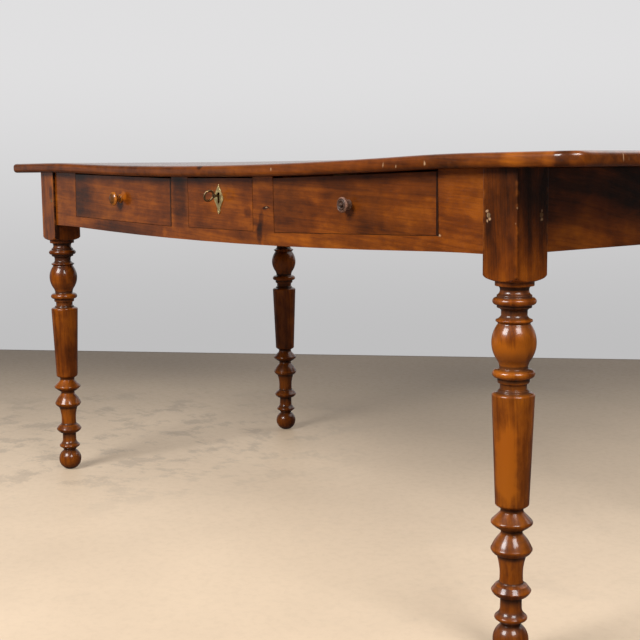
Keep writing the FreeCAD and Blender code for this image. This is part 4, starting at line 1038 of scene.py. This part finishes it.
class TABLE_OT_carcase(Undoable, bpy.types.Operator):
    """Finish the runners, guides, stops and fixing blocks"""
    bl_idname = "writing_table.carcase"
    bl_label = "Runners and Blocks"

    def execute(self, context):
        pale = context.scene.table_colours.pale_wood
        lengthwise = plain_wood("runner_wood", "Y", 2.9, scaled(pale, 0.80))
        crosswise = plain_wood("block_wood", "X", 6.6, scaled(pale, 0.45))
        runners = [node for node in sorted(frame["nodes"]) if node.endswith(("_runner", "_guide"))]
        for node in (*runners, "drawer_stops", "fixing_blocks"):
            softened(node, [lengthwise if node in runners else crosswise], 0.0009, 2)
        return {"FINISHED"}


class TABLE_OT_fasteners(Undoable, bpy.types.Operator):
    """Drive the pegs and the screws"""
    bl_idname = "writing_table.fasteners"
    bl_label = "Pegs and Screws"

    def execute(self, context):
        sizes, colours = context.scene.table_sizes, context.scene.table_colours
        peg_wood = plain_wood("peg_wood", "Z", 3.3, scaled(colours.pale_wood, 0.5), 0.15, 0.6, fine=6.0)
        iron = metal("screw_iron", scaled(colours.iron, 1.3), colours.iron, 0.8, 0.42)
        fasteners("peg", "joint_pegs", peg_wood, outward, (0.0037, 0.0006, 0.0038),
                  unevenness=sizes.peg_chipping)
        small = (0.0023, 0.0012, 0.0011)
        for node, axis, sign, shape, slot_width in (
                ("top_screws", 2, 1, (0.0043, 0.003, 0.0021), sizes.slot_width),
                ("strike_screws", 2, 1, small, 0.0006), ("lock_screws", 1, -1, small, 0.0006)):
            fasteners("screw", node, iron, lambda low, high, way=(axis, sign): way, shape, slot_width)
        return {"FINISHED"}


class TABLE_OT_knobs(Undoable, bpy.types.Operator):
    """Turn the two unlike knobs"""
    bl_idname = "writing_table.knobs"
    bl_label = "Knobs"

    def execute(self, context):
        colours = context.scene.table_colours
        glossy = plain_wood("left_knob_wood", "Y", 4.4, colours.knob, 0.70, 0.26, 0.30, 3.0)
        grey = plain_wood("right_knob_wood", "Y", 7.2, colours.grey_knob, 0.50, 0.50, 0.06, 3.0)
        placed(knob_mesh("left_drawer_knob", LEFT_KNOB), "left_drawer_knob", [glossy], 60)
        placed(knob_mesh("right_drawer_knob", RIGHT_KNOB, 0.03), "right_drawer_knob",
               [grey], 60)
        return {"FINISHED"}


class TABLE_OT_lock(Undoable, bpy.types.Operator):
    """Finish the lock, its plate, its strike and the keyhole plate"""
    bl_idname = "writing_table.lock"
    bl_label = "Lock"

    def execute(self, context):
        colours = context.scene.table_colours
        brass = metal("aged_brass", colours.brass, scaled(colours.brass, 0.55), 0.75, 0.30, 0.55)
        iron = metal("lock_iron", colours.iron, scaled(colours.iron, 0.6), 0.8, 0.42)
        for node, slot, finish, shortest in (
                ("lock_case", "iron", iron, 0.0015), ("lock_bolt", "iron", iron, 0.0015),
                ("lock_plate", "brass", brass, 0.0015), ("strike_plate", "brass", brass, 0.0015),
                ("escutcheon", "brass", brass, 0.0)):
            softened(node, [finish], 0.00035, 2, shortest, angle=25)
        fasteners("pin", "escutcheon_pins", brass, lambda low, high: (1, 1),
                  (0.0015, 0.0007, 0.0009))
        return {"FINISHED"}


class TABLE_OT_key(Undoable, bpy.types.Operator):
    """Finish the key"""
    bl_idname = "writing_table.key"
    bl_label = "Key"

    def execute(self, context):
        iron = metal("key_iron", context.scene.table_colours.key, (0.11, 0.070, 0.038), 0.7, 0.30)
        placed(merged("key"), "key", [iron], 40)
        return {"FINISHED"}


class TABLE_OT_stage(Undoable, bpy.types.Operator):
    """Lay the floor and set the backdrop, the lamps and the camera"""
    bl_idname = "writing_table.stage"
    bl_label = "Stage"

    def execute(self, context):
        floor(context.scene.table_colours.floor)
        world(context.scene.table_colours.backdrop)
        lamp("front_lamp", -1, 34, 3.6, 1.5, 185)
        lamp("side_lamp", 73, 36, 3.4, 1.2, 92)
        lamp("rear_lamp", 168, 42, 3.6, 2.4, 36)
        camera()
        return {"FINISHED"}


def floor(base):
    """A plain floor that ends where the photograph's wall stands."""
    material, start = material_start("floor_concrete")
    place = start.place()
    cloud = place.noise(1.1, 5, 0.6).step(0.30, 0.72)
    grit = place.noise(55, 4, 0.7).step(0.4, 0.75)
    colour = cloud.mix(scaled(base, 0.90), scaled(base, 1.06))
    colour = (grit * 0.12).mix(colour, FLOOR_GRIT, "MULTIPLY")
    wander = (place.noise(3.0, 4) - 0.5) * 0.03
    away = place.along(TO_WALL) - WALL_DISTANCE
    joint = (away + wander + 0.323).math("ABSOLUTE").step(0.016, 0.006) * place.noise(2.0, 3).step(0.35, 0.6)
    # A dark line where the floor meets the wall is painted shade; the joint further out is dirt.
    wall_foot_shade = away.step(-0.035, -0.012)
    stain = place.noise(2.6, 6, 0.7).step(0.56, 0.74)
    colour = (stain * 0.22).mix(colour, FLOOR_STAIN, "MULTIPLY")
    crust = place.noise(7.0, 7, 0.75).step(0.50, 0.60) * place.spot((-1000, -100, 0), (900, 900, 300))
    colour = (crust * 0.55).mix(colour, FLOOR_CRUST, "MULTIPLY")
    # Painted shade: the floor is painted darker towards the wall, behind the table.
    colour = (away.step(-0.9, -0.15) * 0.85).mix(colour, FLOOR_SHADE_BY_WALL, "MULTIPLY")
    colour = joint.math("MAXIMUM", wall_foot_shade * 0.8).mix(colour, JOINT_DIRT_AND_WALL_FOOT_SHADE)
    # Painted light: for the camera the floor glows, more the farther it lies from the wall, which lifts its
    # shade.
    lift = start.ray("Is Camera Ray") * away.step(-0.45, -1.9) * 0.62
    shaded(start, {"Base Color": colour, "Roughness": 0.55 + grit * 0.1,
                   "Emission Color": lift.mix(BLACK, colour), "Emission Strength": 1.0})
    wall_point, wall_way = Vector(WALL_POINT), Vector(WALL_WAY).normalized()
    corners = [wall_point - wall_way * 9, wall_point + wall_way * 9,
               Vector((FLOOR_REACH, -FLOOR_REACH, 0)), Vector((-FLOOR_REACH, -FLOOR_REACH, 0))]
    mesh = bpy.data.meshes.new("floor")
    mesh.from_pydata([tuple(corner) for corner in corners], [], [(3, 2, 1, 0)])
    mesh.materials.append(material)
    slab = linked("floor", mesh)
    slab.visible_glossy = False


def world(backdrop):
    """Even light all round, and the backdrop's colour for the camera and for reflections."""
    sky = bpy.data.worlds.new("studio")
    bpy.context.scene.world = sky
    sky.use_nodes = True
    sky.node_tree.nodes.clear()
    start = Wire(sky.node_tree)
    way = start.node("ShaderNodeTexCoord", {}, {}, "Generated")
    rise = start.node("ShaderNodeSeparateXYZ", {}, {0: way}, "Z")
    seen = rise.step(-0.16, 0.10).mix(scaled(backdrop, 0.70), backdrop)
    behind = way.along(TO_WALL).step(0.45, 0.80) * rise.step(-0.04, 0.04)
    beside = way.along((-0.900, -0.436, 0.0)).step(0.965, 0.998) * 0.45
    mirrored = behind.math("MAXIMUM", behind, beside) * start.ray("Is Glossy Ray")
    is_seen = mirrored.math("MAXIMUM", start.ray("Is Camera Ray"), mirrored)
    glow = start.node("ShaderNodeBackground", {}, {"Color": is_seen.mix(ROOM_LIGHT, seen), "Strength": 1.0})
    start.node("ShaderNodeOutputWorld", {}, {"Surface": glow})


def lamp(name, azimuth, elevation, distance, size, power):
    """A soft square lamp that looks at the table. Azimuth 0 is straight in front."""
    turn, lift = math.radians(azimuth), math.radians(elevation)
    way = Vector((math.sin(turn) * math.cos(lift), -math.cos(turn) * math.cos(lift), math.sin(lift)))
    light = bpy.data.lights.new(name, "AREA")
    light.shape = "SQUARE"
    light.size = size
    light.energy = power
    thing = linked(name, light)
    thing.location = Vector((0, 0, 0.45)) + way * distance
    thing.rotation_euler = way.to_track_quat("Z", "Y").to_euler()
    thing.visible_camera = False


def camera():
    """The photograph's viewpoint."""
    right = Vector((0.62453785, 0.78093014, -0.01002948))
    down = Vector((0.09444495, -0.08826625, -0.99160941))
    forward = Vector((-0.77526294, 0.61835037, -0.12888052))
    data = bpy.data.cameras.new("camera")
    data.lens = 64.978
    data.sensor_width = 36
    eye = linked("camera", data)
    eye.matrix_world = (Matrix.Translation((1.87470, -1.61366, 0.73766))
                        @ Matrix((right, -down, -forward)).transposed().to_4x4())
    bpy.context.scene.camera = eye


OPERATORS = (TABLE_OT_top, TABLE_OT_legs, TABLE_OT_aprons, TABLE_OT_drawers, TABLE_OT_carcase,
             TABLE_OT_fasteners, TABLE_OT_knobs, TABLE_OT_lock, TABLE_OT_key, TABLE_OT_stage)


class TABLE_PT_panel(bpy.types.Panel):
    """The writing table's pieces, sizes and colours"""
    bl_idname = "TABLE_PT_panel"
    bl_label = "Writing Table"
    bl_space_type = "VIEW_3D"
    bl_region_type = "UI"
    bl_category = "Writing Table"

    def draw(self, context):
        for group in (context.scene.table_sizes, context.scene.table_colours):
            column = self.layout.column()
            for name in group.__annotations__:
                column.prop(group, name)
        column = self.layout.column(align=True)
        for operator in OPERATORS:
            column.operator(operator.bl_idname)


CLASSES = (TableSizes, TableColours, *OPERATORS, TABLE_PT_panel)


def register():
    """Register the classes and hang the settings on the scene."""
    for item in CLASSES:
        bpy.utils.register_class(item)
    bpy.types.Scene.table_sizes = bpy.props.PointerProperty(type=TableSizes)
    bpy.types.Scene.table_colours = bpy.props.PointerProperty(type=TableColours)


def unregister():
    """Undo register."""
    del bpy.types.Scene.table_colours
    del bpy.types.Scene.table_sizes
    for item in reversed(CLASSES):
        bpy.utils.unregister_class(item)


def main():
    """Make the whole scene."""
    register()
    bpy.context.scene.view_settings.view_transform = "Standard"
    for operator in OPERATORS:
        family, name = operator.bl_idname.split(".")
        getattr(getattr(bpy.ops, family), name)()


if __name__ == "__main__":
    main()
